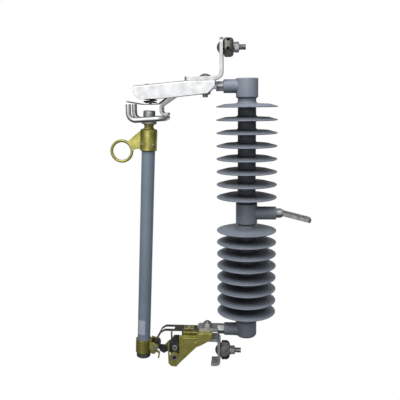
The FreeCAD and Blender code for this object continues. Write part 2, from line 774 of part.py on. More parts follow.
hinge_bolt = dome_bolt("hinge_bolt",
                       f"{LOW_TONGUE_TOP} - {BAR_LEVEL} + lower_bar_thickness + low_nut_height",
                       "low_dome_radius", "low_dome_height")
place(hinge_bolt, "-bolt_run", f"{BAR_LEVEL} - lower_bar_thickness", turn="180")
hinge_nut = hex_nut("hinge_nut", "nut_flats", "low_nut_height", NUT_BORE)
nut_flange = sketch_on(hinge_nut, "XY_Plane")
circle(nut_flange, "0", "0", "low_nut_flange")
circle(nut_flange, "0", "0", NUT_BORE)
pad(hinge_nut, nut_flange, "2", False)
place(hinge_nut, "-bolt_run", LOW_TONGUE_TOP)

# Line clamps: a domed bolt through the bar, two grooved jaws, a spring washer and a nut


def clamp_jaw(name, outer):
    """Build one jaw about the stud, with two half grooves for the conductor."""
    body = new_body(name)
    face = "jaw_thickness"
    if outer:
        profile = [
            (face, BOLT_HOLE),
            (face, "jaw_reach"),
            (f"{face} + jaw_thickness / 3", "jaw_reach"),
            (f"2 * {face}", "jaw_shoulder", "jaw_thickness", -1),
            (f"2 * {face}", BOLT_HOLE),
        ]
    else:
        profile = [
            ("0", BOLT_HOLE),
            ("0", "jaw_shoulder"),
            (f"{face} / 3", "jaw_reach"),
            (face, "jaw_reach"),
            (face, BOLT_HOLE),
        ]
    turned(body, outline(sketch_on(body, "XZ_Plane"), profile), "H_Axis")
    grooves = sketch_on(body, "XZ_Plane")
    circle(grooves, face, "groove_offset", "groove_radius")
    circle(grooves, face, "-groove_offset", "groove_radius")
    pocket(body, grooves)
    for side in ("", "-"):
        flats = outline(sketch_on(body, "XZ_Plane"), [
            ("-1", f"{side}jaw_half"),
            ("-1", f"{side}(jaw_reach + 1)"),
            ("2 * jaw_thickness + 1", f"{side}(jaw_reach + 1)"),
            ("2 * jaw_thickness + 1", f"{side}jaw_half"),
        ])
        pocket(body, flats)
    return body


def line_clamp(prefix, face, bar_thickness, level, turn):
    """Place one set of clamp pieces on a terminal bar's right face."""
    x = f"-{face}"
    for side, outer in (("inner", False), ("outer", True)):
        place(clamp_jaw(f"{prefix}_clamp_{side}_jaw", outer), x, level, turn=turn, axis=(1, 0, 0))
    bolt = dome_bolt(f"{prefix}_clamp_bolt", f"stud_length + {bar_thickness}", "dome_radius * 0.9",
                     "dome_height")
    place(bolt, f"{x} - {bar_thickness}", level, turn="-90")
    washer = lock_washer(f"{prefix}_clamp_washer", "nut_flats / 2 + 0.6")
    place(washer, f"{x} + 2 * jaw_thickness", level, turn="90")
    nut = hex_nut(f"{prefix}_clamp_nut", "nut_flats", "nut_height", NUT_BORE)
    place(nut, f"{x} + 2 * jaw_thickness + washer_thickness", level, turn="90")


line_clamp("upper", "upper_bar_face", "upper_bar_thickness", "upper_stud_level", "upper_clamp_turn")
line_clamp("lower", "lower_bar_face", "lower_bar_thickness", "-lower_stud_drop", "lower_clamp_turn")

# Upper contact: a leaf clamped by the hood bolt, pressed down by a coil spring

strip_level = f"{STRIP_TOP} - strip_thickness / 2"
strip_points = [(-60.0, 0), (-97.0, 0), (-113.0, -4.6), (-145.0, -27.5), (-157.0, -36.0),
                (-186.0, -36.0), (-213.3, -31.0)]
strip_zero = value(strip_level)
strip_shape = bent_strip([(x, strip_zero + z) for x, z in strip_points], value("strip_bend_round"),
                         value("strip_width"), value("strip_thickness"))


def upright(radius, x, z_low, z_high):
    """Return a plain upright cylinder for cutting or joining."""
    return Part.makeCylinder(radius, z_high - z_low, Vector(x, 0, z_low), Vector(0, 0, 1))


def strip_height(run):
    """Return the level of the leaf's middle plane at a distance to the left."""
    for (right, high), (left, low) in zip(strip_points, strip_points[1:]):
        if left <= -run <= right:
            return strip_zero + high + (low - high) * (right + run) / (right - left)
    return strip_zero


seat_level = strip_height(value("spring_run"))
strip_shape = strip_shape.cut(upright(value(BOLT_HOLE), -value("bolt_run"), strip_zero - 9, strip_zero + 9))
strip_shape = strip_shape.cut(
    upright(value("rivet_radius"), -value("spring_run"), seat_level - 9, seat_level + 9))
place(feature("upper_contact_strip", strip_shape))

leaf_top = seat_level + value("strip_thickness") / 2 + 0.15
leaf_bottom = seat_level - value("strip_thickness") / 2 - 0.15
seat = upright(value("spring_seat_radius"), 0, 0, value("spring_seat_height")).fuse(
    upright(value("rivet_radius") - 0.05, 0, leaf_bottom - leaf_top - 0.5, 0.5))
seat = seat.fuse(upright(value("rivet_head_radius"), 0, leaf_bottom - leaf_top - 1.0, leaf_bottom - leaf_top))
place(feature("contact_spring_seat", seat.removeSplitter()), "-spring_run", f"{leaf_top:.4f}")

wire = value("spring_wire") / 2
spring_low = leaf_top + wire + 0.2
spring_high = value(ROOF_OVER_SPRING) - wire - 1.4
spring_pitch = (spring_high - spring_low) / value("spring_turns")
helix = Part.makeHelix(spring_pitch, spring_high - spring_low, value("spring_radius"))
ring = Part.Wire(Part.makeCircle(wire, Vector(value("spring_radius"), 0, 0), Vector(0, 1, 0)))
coil = Part.Wire(helix).makePipeShell([ring], True, True)
place(feature("contact_spring", coil), "-spring_run", f"{spring_low:.4f}")

rivet = new_body("spring_rivet")
turned(rivet, outline(sketch_on(rivet, "XZ_Plane"), [
    ("0", "-hood_wall - rivet_head_height"),
    ("rivet_head_radius", "-hood_wall - rivet_head_height"),
    ("rivet_head_radius", "-hood_wall - 0.4"),
    ("rivet_radius - thread_play", "-hood_wall - 0.4"),
    ("rivet_radius - thread_play", "0.4"),
    ("rivet_head_radius", "0.4"),
    ("rivet_head_radius - 1.2", "rivet_head_height"),
    ("0", "rivet_head_height"),
]))
place(rivet, "-rivet_run", ROOF_OVER_RIVET)

# Load hook: a strap from the hood and a round rod bent to a loop with two upturned horns

hook_leg = value(HOOK_LEG_TOP) - value("hook_strap_thickness") / 2
foot_level = value("rod_level") + value("rod_radius") + value("hook_strap_thickness") / 2 + 0.1
hook_x = -value("hook_strap_run")
hook_shape = bent_strip([
    (-value(COLLAR_END) - 6.0, hook_leg),
    (-value("hook_strap_bend"), hook_leg),
    (hook_x, value("hook_strap_elbow")),
    (hook_x, foot_level),
    (-value("rod_right") + value("rod_radius"), foot_level),
], value("hook_strap_round"), value("hook_strap_width"), value("hook_strap_thickness"))
hook_shape = hook_shape.cut(upright(value(BOLT_HOLE), -value("bolt_run"), hook_leg - 9, hook_leg + 9))
place(feature("hook_strap", hook_shape))

lean = math.tan(math.radians(value("rod_rise")))
horn_foot = value("rod_level") - lean * (value("rod_left") - value("rod_right"))
spread = value("rod_spread")
rod_route = [
    (-value("rod_left"), -spread, value("horn_top")),
    (-value("rod_left"), -spread, horn_foot),
    (-value("rod_right"), -spread, value("rod_level")),
    (-value("rod_right"), spread, value("rod_level")),
    (-value("rod_left"), spread, horn_foot),
    (-value("rod_left"), spread, value("horn_top")),
]
rod_section = Part.Wire(Part.makeCircle(value("rod_radius"), Vector(*rod_route[0]), Vector(0, 0, 1)))
place(feature("hook_rod", swept(bent_path(rod_route, value("rod_corner")), rod_section)))

# Hinge casting: two cheeks with open slots, a deck between them and a sloping web

hinge = new_body("hinge_casting")
slot_left = f"(-pivot_run - {SLOT_HALF})"
slot_right = f"(-pivot_run + {SLOT_HALF})"
pad(hinge, outline(sketch_on(hinge, "XZ_Plane"), [
    (f"{slot_left} - lip_thickness", "-lip_top"),
    (slot_left, "-lip_top"),
    (slot_left, "-pivot_drop"),
    (slot_right, "-pivot_drop", SLOT_HALF, 1),
    (slot_right, "-cheek_top - 2"),
    (f"{slot_right} + 2", "-cheek_top"),
    ("-cheek_step", "-cheek_top"),
    ("-cheek_step + 2", LOW_TONGUE_BOTTOM),
    ("-hinge_right", LOW_TONGUE_BOTTOM),
    ("-hinge_right", f"{LOW_TONGUE_BOTTOM} - hinge_end_height"),
    ("-hinge_step_run", "-pivot_drop + 24"),
    ("-hinge_step_run - 6.5", "-pivot_drop + 22"),
    (f"{slot_right} + 1", "-pivot_drop - 10.5"),
    ("-pivot_run + 3", "-pivot_drop - 19"),
    ("-pivot_run - 7", "-pivot_drop - 17.8"),
    (f"{slot_left} - lip_thickness + 1", "-pivot_drop - 12"),
]), "2 * cheek_outer")
pad(hinge, outline(sketch_on(hinge, "XZ_Plane"), [
    ("-rib_left", "-rib_drop - rib_height / 2"),
    ("-deck_block - 1", "-rib_drop - rib_height / 2"),
    ("-deck_block - 1", "-rib_drop + rib_height / 2"),
    ("-rib_left", "-rib_drop + rib_height / 2"),
]), "2 * (cheek_outer + rib_proud)")
pad(hinge, circle(sketch_on(hinge, "XZ_Plane"), "-nub_run", "-nub_drop", "nub_radius"),
    "2 * (cheek_outer + rib_proud)")
deck_under = f"({LOW_TONGUE_BOTTOM} - deck_thickness)"
web_line = "-pivot_drop + 22 + web_depth"
pocket(hinge, outline(sketch_on(hinge, "XZ_Plane"), [
    ("-deck_block", f"{LOW_TONGUE_BOTTOM} + 5"),
    ("-deck_block", f"{web_line} + 1.5"),
    ("-web_left", f"{web_line} - (web_left - hinge_step_run - 6.5)"),
    ("-web_left", "-pivot_drop - 30"),
    ("-pivot_run - 30", "-pivot_drop - 30"),
    ("-pivot_run - 30", f"{LOW_TONGUE_BOTTOM} + 5"),
]), f"2 * {CHEEK_INNER}")
pad(hinge, outline(sketch_on(hinge, "XZ_Plane"), [
    ("-deck_left", LOW_TONGUE_BOTTOM),
    ("-deck_left", deck_under),
    ("-deck_block + 1", deck_under),
    ("-deck_block + 1", LOW_TONGUE_BOTTOM),
]), "deck_width")
pocket(hinge, outline(sketch_on(hinge, "XZ_Plane"), [
    ("-lower_bar_left - 2", BAR_LEVEL),
    ("-lower_bar_left - 2", f"{BAR_LEVEL} - 30"),
    ("-hinge_right + 15", f"{BAR_LEVEL} - 30"),
    ("-hinge_right + 15", BAR_LEVEL),
]), "bar_width + 1.2")
deck_holes = sketch_on(hinge, "XY_Plane")
circle(deck_holes, "-bolt_run", "0", BOLT_HOLE)
circle(deck_holes, "-post_run", "0", "screw_radius + thread_play")
pocket(hinge, deck_holes)
place(hinge)

# Lower contact strap: a forked leaf on the deck that rests on the trunnion's boss

contact_level = value(LOW_TONGUE_BOTTOM) + value("contact_thickness") / 2
tip_x = -value("toggle_run") - 0.5
tip_z = -value("toggle_drop") + value("boss_radius") + value("contact_thickness") / 2 + 0.6
contact_shape = bent_strip([
    (-value(f"{COLLAR_END} + tongue_length + contact_room"), contact_level),
    (tip_x + 18.0, contact_level),
    (tip_x + 10.5, contact_level - 5.0),
    (tip_x, tip_z),
], value("contact_round"), value("contact_width"), value("contact_thickness"))
fork_width = value("contact_gap")
fork = Part.makeBox(100.0, fork_width, 80.0,
                    Vector(-value("contact_fork") - 100.0, -fork_width / 2, contact_level - 60.0))
contact_shape = contact_shape.cut(fork)
contact_shape = contact_shape.cut(upright(value("screw_radius + thread_play"), -value("post_run"),
                                          contact_level - 9, contact_level + 9))
place(feature("lower_contact_strap", contact_shape))

post = new_body("contact_post")
post_sketch = sketch_on(post, "XY_Plane")
outline(post_sketch, [
    ("-post_half", "-post_width / 2"),
    ("post_half", "-post_width / 2"),
    ("post_half", "post_width / 2"),
    ("-post_half", "post_width / 2"),
])
circle(post_sketch, "0", "0", "screw_radius + thread_play")
pad(post, post_sketch, "post_thickness", False)
place(post, "-post_run", CONTACT_TOP)

screw = new_body("contact_screw")
pad(screw, circle(sketch_on(screw, "XY_Plane"), "0", "0", "screw_head_radius"), "screw_head_height", False)
pad(screw, circle(sketch_on(screw, "XY_Plane"), "0", "0", "screw_radius"),
    "post_thickness + contact_thickness + deck_thickness + 1.5", False, True)
place(screw, "-post_run", f"{CONTACT_TOP} + post_thickness")

# Trunnion: a block between the cheeks with a waisted arm to the toggle

trunnion = new_body("trunnion")
pad(trunnion, outline(sketch_on(trunnion, "XZ_Plane"), [
    ("-pivot_run + 8", "-pivot_drop + 24.5"),
    ("-pivot_run + 3", "-pivot_drop + 26.5"),
    ("-pivot_run - 5", "-pivot_drop + 26"),
    ("-pivot_run - 8", "-pivot_drop + 22"),
    ("-pivot_run - 8.6", "-pivot_drop"),
    ("-pivot_run + 8.6", "-pivot_drop", "8.6001", 1),
    ("-pivot_run + 8.6", "-pivot_drop + 20"),
]), "block_width")
pad(trunnion, outline(sketch_on(trunnion, "XZ_Plane"), [
    ("-pivot_run", "-pivot_drop + 24"),
    ("-pivot_run - 8", "-pivot_drop + 24"),
    ("-pivot_run - 15", "-pivot_drop + 18"),
    ("-pivot_run - 22.5", "-pivot_drop + 10"),
    ("-toggle_run + boss_radius * 0.9", "-toggle_drop - boss_radius * 0.7"),
    ("-toggle_run + 4", "-toggle_drop + 2"),
    ("-toggle_run - 3", "-toggle_drop - 5"),
    ("-toggle_run + 5.5", "-toggle_drop - boss_radius * 0.95"),
    ("-pivot_run - 29.3", "-pivot_drop + 4.2"),
    ("-pivot_run - 22", "-pivot_drop + 0.3"),
    ("-pivot_run - 15", "-pivot_drop + 4.5"),
    ("-pivot_run - 8", "-pivot_drop + 2"),
    ("-pivot_run", "-pivot_drop + 2"),
]), "boss_width")
pad(trunnion, circle(sketch_on(trunnion, "XZ_Plane"), "-toggle_run", "-toggle_drop", "boss_radius"),
    "boss_width")
bores = sketch_on(trunnion, "XZ_Plane")
circle(bores, "-toggle_run", "-toggle_drop", "toggle_pin_radius + running_play / 2")
circle(bores, "-pivot_run", "-pivot_drop", "pivot_pin_radius")
circle(bores, "-tail_screw_run", "-tail_screw_drop", "screw_radius + thread_play")
pocket(trunnion, bores)
place(trunnion)

bush_inner = "block_width / 2 + side_play"
bushes = new_body("pivot_bushes")
bush_sketch = sketch_on(bushes, "XZ_Plane")
circle(bush_sketch, "-pivot_run", "-pivot_drop", "bush_radius")
circle(bush_sketch, "-pivot_run", "-pivot_drop", "pivot_pin_radius")
pad(bushes, bush_sketch, "2 * cheek_outer + 1")
doc.recompute()
bush_pair = bushes.Shape.cut(Part.makeBox(60, 2 * value(bush_inner), 60,
                                          Vector(-value("pivot_run") - 30, -value(bush_inner),
                                                 -value("pivot_drop") - 30)))
doc.removeObject(bushes.Name)
place(feature("pivot_bushes", bush_pair))


def cross_pin(name, x, z, radius, half_length, hollow=None):
    """Build a pin that lies along Y, plain or with a hole along it."""
    body = new_body(name)
    sketch = circle(sketch_on(body, "XZ_Plane"), "0", "0", radius)
    if hollow is not None:
        circle(sketch, "0", "0", hollow)
    pad(body, sketch, f"2 * ({half_length})")
    return place(body, x, z)


cross_pin("pivot_pin", "-pivot_run", "-pivot_drop", "pivot_pin_radius", "pivot_pin_half", "pin_hollow")
cross_pin("toggle_pin", "-toggle_run", "-toggle_drop", "toggle_pin_radius", "lug_outer + 1")
cross_pin("tail_screw", "-tail_screw_run", "-tail_screw_drop", "screw_radius",
          "block_width / 2 + tail_nut_height")
tail_nut = hex_nut("tail_nut", "tail_nut_flats", "tail_nut_height", "screw_radius + thread_play")
place(tail_nut, "-tail_screw_run", "-tail_screw_drop", y="-block_width / 2", turn="90", axis=(1, 0, 0))

# Fuse tube and what is fixed on it, drawn on the tube's axis


def turned_piece(name, points):
    """Turn one outline about the tube's axis."""
    body = new_body(name)
    turned(body, outline(sketch_on(body, "XZ_Plane"), points))
    return body


def on_tube(body):
    """Place a piece on the leaning tube's axis, level with the toggle."""
    return place(body, TUBE_X, TUBE_Z, turn="tube_lean")


on_tube(turned_piece("fuse_tube", [
    ("tube_bore", "-tube_foot"), ("tube_radius", "-tube_foot"),
    ("tube_radius", "tube_head"), ("tube_bore", "tube_head")]))
on_tube(turned_piece("tube_liner", [
    ("liner_bore", "-tube_foot"), ("tube_bore", "-tube_foot"),
    ("tube_bore", "tube_head"), ("liner_bore", "tube_head")]))
on_tube(turned_piece("tube_end_ring", [
    ("tube_radius", "-tube_foot"), ("end_ring_radius - 1", "-tube_foot"),
    ("end_ring_radius", "-tube_foot + 1"), ("end_ring_radius", "-lower_sleeve_bottom"),
    ("tube_radius", "-lower_sleeve_bottom")]))

lower_casting = turned_piece("lower_tube_casting", [
    ("tube_radius", "-lower_sleeve_bottom"),
    ("sleeve_radius - 1.5", "-lower_sleeve_bottom"),
    ("sleeve_radius", "-lower_sleeve_bottom + 1.5"),
    ("sleeve_radius", "lower_sleeve_top"),
    ("tube_radius", "lower_sleeve_top")])
pad(lower_casting, outline(sketch_on(lower_casting, "XZ_Plane"), [
    ("tube_radius + 1", "-lug_radius"),
    ("tube_offset", "-lug_radius"),
    ("tube_offset", "lug_radius", "lug_radius + 0.001", 1),
    ("tube_radius + 1", "lower_sleeve_top"),
]), "2 * lug_outer")
pocket(lower_casting, outline(sketch_on(lower_casting, "XZ_Plane"), [
    ("sleeve_radius + 0.5", "-lug_radius - 5"),
    ("tube_offset + 15", "-lug_radius - 5"),
    ("tube_offset + 15", "lower_sleeve_top + 5"),
    ("sleeve_radius + 0.5", "lower_sleeve_top + 5"),
]), "2 * lug_inner")
ear_x = "(tube_offset - ejector_left * cos(tube_lean) + ejector_below * sin(tube_lean))"
ear_z = "(-ejector_left * sin(tube_lean) - ejector_below * cos(tube_lean))"
pad(lower_casting, outline(sketch_on(lower_casting, "XZ_Plane"), [
    ("tube_radius + 1", f"{ear_z} - ear_radius + 1"),
    (ear_x, f"{ear_z} - ear_radius"),
    (ear_x, f"{ear_z} + ear_radius", "ear_radius + 0.001", 1),
    ("tube_radius + 1", f"{ear_z} + ear_radius"),
]), "2 * ear_outer")
pocket(lower_casting, outline(sketch_on(lower_casting, "XZ_Plane"), [
    ("sleeve_radius + 0.4", f"{ear_z} - ear_radius - 5"),
    (f"{ear_x} + 15", f"{ear_z} - ear_radius - 5"),
    (f"{ear_x} + 15", f"{ear_z} + ear_radius + 3"),
    ("sleeve_radius + 0.4", f"{ear_z} + ear_radius + 3"),
]), "2 * ear_inner")
pins = sketch_on(lower_casting, "XZ_Plane")
circle(pins, "tube_offset", "0", "toggle_pin_radius")
circle(pins, ear_x, ear_z, "ejector_pin_radius")
pocket(lower_casting, pins)
pocket(lower_casting, circle(sketch_on(lower_casting, "XY_Plane"), "0", "0", "tube_radius"))
on_tube(lower_casting)

upper_casting = turned_piece("upper_tube_casting", [
    ("liner_bore", "tube_head"),
    ("liner_bore", "button_top - 8"),
    ("cap_stud_radius", "button_top - 8"),
    ("cap_stud_radius", "flange_bottom"),
    ("cap_neck_radius", "flange_bottom"),
    ("cap_neck_radius - 1", "upper_sleeve_top + 3"),
    ("cap_neck_radius + 1", "upper_sleeve_top"),
    ("sleeve_radius - sleeve_round", "upper_sleeve_top"),
    ("sleeve_radius", "upper_sleeve_top - sleeve_round", "sleeve_round", -1),
    ("sleeve_radius", "upper_sleeve_bottom + 1.5"),
    ("sleeve_radius - 1.5", "upper_sleeve_bottom"),
    ("tube_radius", "upper_sleeve_bottom"),
    ("tube_radius", "tube_head"),
])
pad(upper_casting, outline(sketch_on(upper_casting, "XZ_Plane"), [
    ("-tube_radius - 1", "upper_sleeve_top - sleeve_round - 1"),
    ("-sleeve_radius - 1.4", "upper_sleeve_top - sleeve_round - 1"),
    ("-ring_offset + 11.6", "ring_level + ring_radius + 0.6"),
    ("-ring_offset + ring_radius * cos(60)", "ring_level + ring_radius * sin(60)"),
    ("-ring_offset + ring_radius * cos(30)", "ring_level + ring_radius * sin(30)"),
    ("-ring_offset + ring_radius", "ring_level"),
    ("-sleeve_radius - 9", "upper_sleeve_bottom + 2.2"),
    ("-tube_radius - 1", "upper_sleeve_bottom + 3.5"),
]), "web_thickness")
ring_sketch = sketch_on(upper_casting, "XY_Plane", "ring_level")
circle(ring_sketch, "-ring_offset + ring_radius", "0", "ring_section")
ring_feature = upper_casting.newObject("PartDesign::Revolution", "pull_ring")
ring_feature.Profile = ring_sketch
axis_sketch = sketch_on(upper_casting, "XY_Plane", "ring_level")
centre_line = axis_sketch.addGeometry(Part.LineSegment(Vector(-value("ring_offset"), -10, 0),
                                                       Vector(-value("ring_offset"), 10, 0)))
fix_point(axis_sketch, centre_line, 1, "-ring_offset", "-10")
fix_point(axis_sketch, centre_line, 2, "-ring_offset", "10")
ring_feature.ReferenceAxis = (axis_sketch, ["Edge1"])
ring_feature.Angle = 360.0
upper_casting.Tip = ring_feature
for turn in (45.0, -45.0):
    pocket(upper_casting, circle(sketch_on(upper_casting, "XZ_Plane", turn=turn), "0", "pin_level",
                                 "pin_radius"))
on_tube(upper_casting)

on_tube(turned_piece("contact_cap", [
    ("cap_stud_radius", "flange_bottom"),
    ("flange_radius - 1", "flange_bottom"),
    ("flange_radius", "flange_bottom + 1"),
    ("flange_radius", "flange_top - 2"),
    ("button_radius", "flange_top"),
    ("button_radius", "button_top - button_round"),
    ("button_radius - button_round", "button_top", "button_round", 1),
    ("0", "button_top"),
    ("0", "button_top - 8"),
    ("cap_stud_radius", "button_top - 8"),
]))

pin_from = value("tube_radius") + 0.1
pin_shapes = []
for corner in (45, 135, 225, 315):
    direction = Vector(math.cos(math.radians(corner)), math.sin(math.radians(corner)), 0)
    start = direction * pin_from + Vector(0, 0, value("pin_level"))
    pin_shapes.append(Part.makeCylinder(value("pin_radius") - value("thread_play"),
                                        value("sleeve_radius + pin_proud") - pin_from, start, direction))
on_tube(feature("casting_pins", Part.makeCompound(pin_shapes)))

# Link ejector: a sprung hook on two small ears of the lower casting

ejector_shape = bent_strip([
    (2.0, -0.4), (7.6, -1.6), (10.6, -4.6), (8.4, -14.8),
], 2.4, 2 * value("ejector_half"), 2.6)
ejector_shape = ejector_shape.fuse(Part.makeCylinder(
    value("ejector_hub_radius"), 2 * value("ejector_half"), Vector(0, -value("ejector_half"), 0), Vector(0, 1, 0)))
ejector_shape = ejector_shape.cut(Part.makeCylinder(
    value("ejector_pin_radius") + 0.05, 20, Vector(0, -10, 0), Vector(0, 1, 0))).removeSplitter()
place(feature("link_ejector", ejector_shape), EJECTOR_X, EJECTOR_Z)
cross_pin("ejector_pin", EJECTOR_X, EJECTOR_Z, "ejector_pin_radius", "ear_outer + 0.4")

# Check every object, then write one file for each piece

doc.recompute()
for item in doc.Objects:
    if "Invalid" in item.State or "Error" in item.State:
        raise RuntimeError(f"{item.Label} failed: {item.State}")
os.makedirs("parts", exist_ok=True)
for piece in PARTS:
    shape = piece.Shape
    if shape.isNull() or not shape.isValid() or shape.Volume <= 0:
        raise RuntimeError(f"{piece.Label} has no valid solid")
    shape.exportStep(f"parts/{piece.Label}.step")
    print(f"{piece.Label}: {len(shape.Solids)} solid, {shape.Volume:.1f} mm3")
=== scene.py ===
"""Looks of an overhead line cutout: finishes, soft pieces, small trim, light and camera."""

from __future__ import annotations

import logging
import math
from collections.abc import Iterable, Mapping, Sequence
from dataclasses import dataclass, field
from enum import Enum

import bpy
from mathutils import Matrix, Vector
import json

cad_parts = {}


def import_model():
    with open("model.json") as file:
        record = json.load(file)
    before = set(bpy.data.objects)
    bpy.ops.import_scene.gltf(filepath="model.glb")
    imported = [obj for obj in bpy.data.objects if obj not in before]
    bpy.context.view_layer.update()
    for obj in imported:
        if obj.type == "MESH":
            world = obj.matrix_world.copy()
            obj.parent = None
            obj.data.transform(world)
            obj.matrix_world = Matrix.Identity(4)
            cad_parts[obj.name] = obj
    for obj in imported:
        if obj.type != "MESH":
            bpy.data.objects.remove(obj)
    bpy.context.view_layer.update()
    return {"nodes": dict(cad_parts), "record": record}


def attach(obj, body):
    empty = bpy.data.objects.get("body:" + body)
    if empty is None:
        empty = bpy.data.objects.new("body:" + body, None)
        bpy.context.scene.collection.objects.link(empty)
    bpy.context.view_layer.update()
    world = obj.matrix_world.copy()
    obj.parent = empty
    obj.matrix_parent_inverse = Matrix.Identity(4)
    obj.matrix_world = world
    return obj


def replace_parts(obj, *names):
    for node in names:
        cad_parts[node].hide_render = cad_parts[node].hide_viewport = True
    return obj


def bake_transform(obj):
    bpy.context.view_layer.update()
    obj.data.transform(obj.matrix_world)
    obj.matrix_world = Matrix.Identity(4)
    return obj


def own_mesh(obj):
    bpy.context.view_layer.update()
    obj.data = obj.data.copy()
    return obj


LOG = logging.getLogger("cutout")

Point = tuple[float, float, float]
Pair = tuple[float, float]
Colour = tuple[float, float, float]
Source = bpy.types.NodeSocket | float | tuple[float, ...]

# The mounting hole's middle, in the drawing's millimetres: the insulator's axis is X = Z = 0 there
HOLE = (65.5 + 33.0 * math.cos(math.radians(14.4)), -33.0 * math.sin(math.radians(14.4)))
MM = 0.001

RIGHT, FRONT = Vector((1, 0, 0)), Vector((0, -1, 0))
UP, DOWN = Vector((0, 0, 1)), Vector((0, 0, -1))


def at(x: float, y: float, z: float) -> Vector:
    """Turn a point of the drawing into the shared frame.

    Args:
        x: Millimetres to the right of the insulator's axis.
        y: Millimetres away from the viewer.
        z: Millimetres above the centre stub.

    Returns:
        The same point in metres from the mounting hole.
    """
    return Vector(((x - HOLE[0]) * MM, y * MM, (z - HOLE[1]) * MM))


class Slot(Enum):
    """The record's material slots, and last two more finishes: a plain forging's and the hook rod's."""

    HOUSING = "housing"
    COMPOSITE = "composite"
    GALVANISED = "galvanised_steel"
    PLATED = "plated_bar"
    DARK_STEEL = "dark_steel"
    JAW = "jaw_alloy"
    BRONZE = "bronze"
    COPPER = "dull_copper"
    DARK_CASTING = "dark_casting"
    TUBE = "tube_shell"
    LINING = "tube_lining"
    LABEL = "label"
    ROD = "rod"
    FORGED = "forged"


class Body(Enum):
    """The moving groups of the CAD model."""

    FRAME = "frame"
    CONTACT = "upper_contact"
    TRUNNION = "trunnion"
    HOLDER = "holder"
    EJECTOR = "ejector"


@dataclass(frozen=True)
class Finish:
    """How one slot's surface looks.

    Attributes:
        light: Linear colour of the brighter patches.
        dark: Linear colour of the darker patches.
        rough: Lowest and highest roughness.
        metal: Share of metallic reflection.
        grain: Size of the colour patches, in metres.
        bump: Height of the surface grain, in metres.
        bump_size: Spacing of the surface grain, in metres.
        cloud: How many finer layers the patches have.
        edge: Radius that edges are softened to, in metres.
        cells: True for crystal patches, as on hot-dip zinc.
        dirt_and_shade: Share of darkening in the hollows: painted shade, plus dirt on the metal parts.
        hollow: How far apart the walls of a hollow may be, in metres.
    """

    light: Colour
    dark: Colour
    rough: Pair
    metal: float = 0.0
    grain: float = 0.02
    bump: float = 0.00002
    bump_size: float = 0.001
    cloud: float = 4.0
    edge: float = 0.0004
    cells: bool = False
    dirt_and_shade: float = 0.0
    hollow: float = 0.006


FINISHES: dict[Slot, Finish] = {
    # On the housing the darkening in the hollows is painted shade at the necks between the sheds
    Slot.HOUSING: Finish((0.205, 0.231, 0.274), (0.172, 0.194, 0.232), (0.22, 0.34), grain=0.05,
                         bump=0.00001, bump_size=0.004, edge=0.0003, dirt_and_shade=1.0, hollow=0.03),
    Slot.COMPOSITE: Finish((0.5, 0.48, 0.28), (0.4, 0.38, 0.2), (0.5, 0.6)),
    Slot.GALVANISED: Finish((0.94, 0.95, 0.955), (0.73, 0.74, 0.75), (0.17, 0.28), metal=0.94,
                            grain=0.012, cloud=1.5, bump=0.0, bump_size=0.003, edge=0.0011, cells=True),
    Slot.PLATED: Finish((0.8, 0.81, 0.82), (0.58, 0.59, 0.61), (0.2, 0.32), metal=0.95, grain=0.012,
                        bump=0.00002, bump_size=0.003, edge=0.0014),
    Slot.DARK_STEEL: Finish((0.52, 0.53, 0.55), (0.26, 0.265, 0.28), (0.25, 0.4), metal=0.9, grain=0.006,
                            edge=0.0003),
    Slot.JAW: Finish((0.33, 0.34, 0.295), (0.085, 0.09, 0.075), (0.28, 0.42), metal=0.8, grain=0.007,
                     bump=0.00004, bump_size=0.002, dirt_and_shade=0.8),
    Slot.BRONZE: Finish((0.66, 0.62, 0.2), (0.38, 0.355, 0.078), (0.22, 0.34), metal=0.86,
                        grain=0.012, cloud=2.0, bump=0.000015, bump_size=0.003, edge=0.0007, dirt_and_shade=0.6),
    Slot.COPPER: Finish((0.16, 0.15, 0.15), (0.07, 0.065, 0.065), (0.3, 0.5), metal=0.8, grain=0.01,
                        edge=0.0003, dirt_and_shade=0.3),
    Slot.DARK_CASTING: Finish((0.085, 0.082, 0.088), (0.032, 0.031, 0.034), (0.35, 0.55), metal=0.7,
                              grain=0.008, bump=0.00006, bump_size=0.0014, edge=0.0008, dirt_and_shade=0.4),
    Slot.TUBE: Finish((0.182, 0.228, 0.284), (0.158, 0.199, 0.252), (0.28, 0.38), grain=0.03,
                      bump=0.00001, bump_size=0.003, edge=0.0003),
    Slot.LINING: Finish((0.075, 0.078, 0.085), (0.04, 0.042, 0.046), (0.4, 0.55), grain=0.01),
    Slot.FORGED: Finish((0.62, 0.63, 0.64), (0.34, 0.35, 0.36), (0.3, 0.44), metal=0.85, grain=0.008,
                        bump=0.00005, bump_size=0.0014, edge=0.0007, dirt_and_shade=0.3),
    Slot.ROD: Finish((0.82, 0.83, 0.85), (0.6, 0.61, 0.63), (0.24, 0.32), metal=0.92, grain=0.02, bump=0.0,
                     edge=0.0008),
    Slot.LABEL: Finish((0.42, 0.46, 0.52), (0.3, 0.335, 0.4), (0.4, 0.5), grain=0.003, edge=0.00005),
}

FORGINGS = ("top_fitting", "centre_fitting", "bottom_fitting", "mounting_strap", "lower_terminal_bar",
            "hook_strap", "spring_rivet", "hood_nut", "hood_washer", "hinge_nut", "tail_nut",
            "upper_clamp_nut", "lower_clamp_nut", "upper_clamp_washer", "lower_clamp_washer",
            "contact_screw", "contact_cap")

# Nodes whose surface differs from the rest of their slot, by wear or plating; the lower clamp's jaws get
# the darker copper finish as painted shade
OTHER_FINISHES = {**dict.fromkeys(FORGINGS, Slot.FORGED), "casting_pins": Slot.GALVANISED,
                  "hook_rod": Slot.ROD, "lower_clamp_inner_jaw": Slot.COPPER,
                  "lower_clamp_outer_jaw": Slot.COPPER}

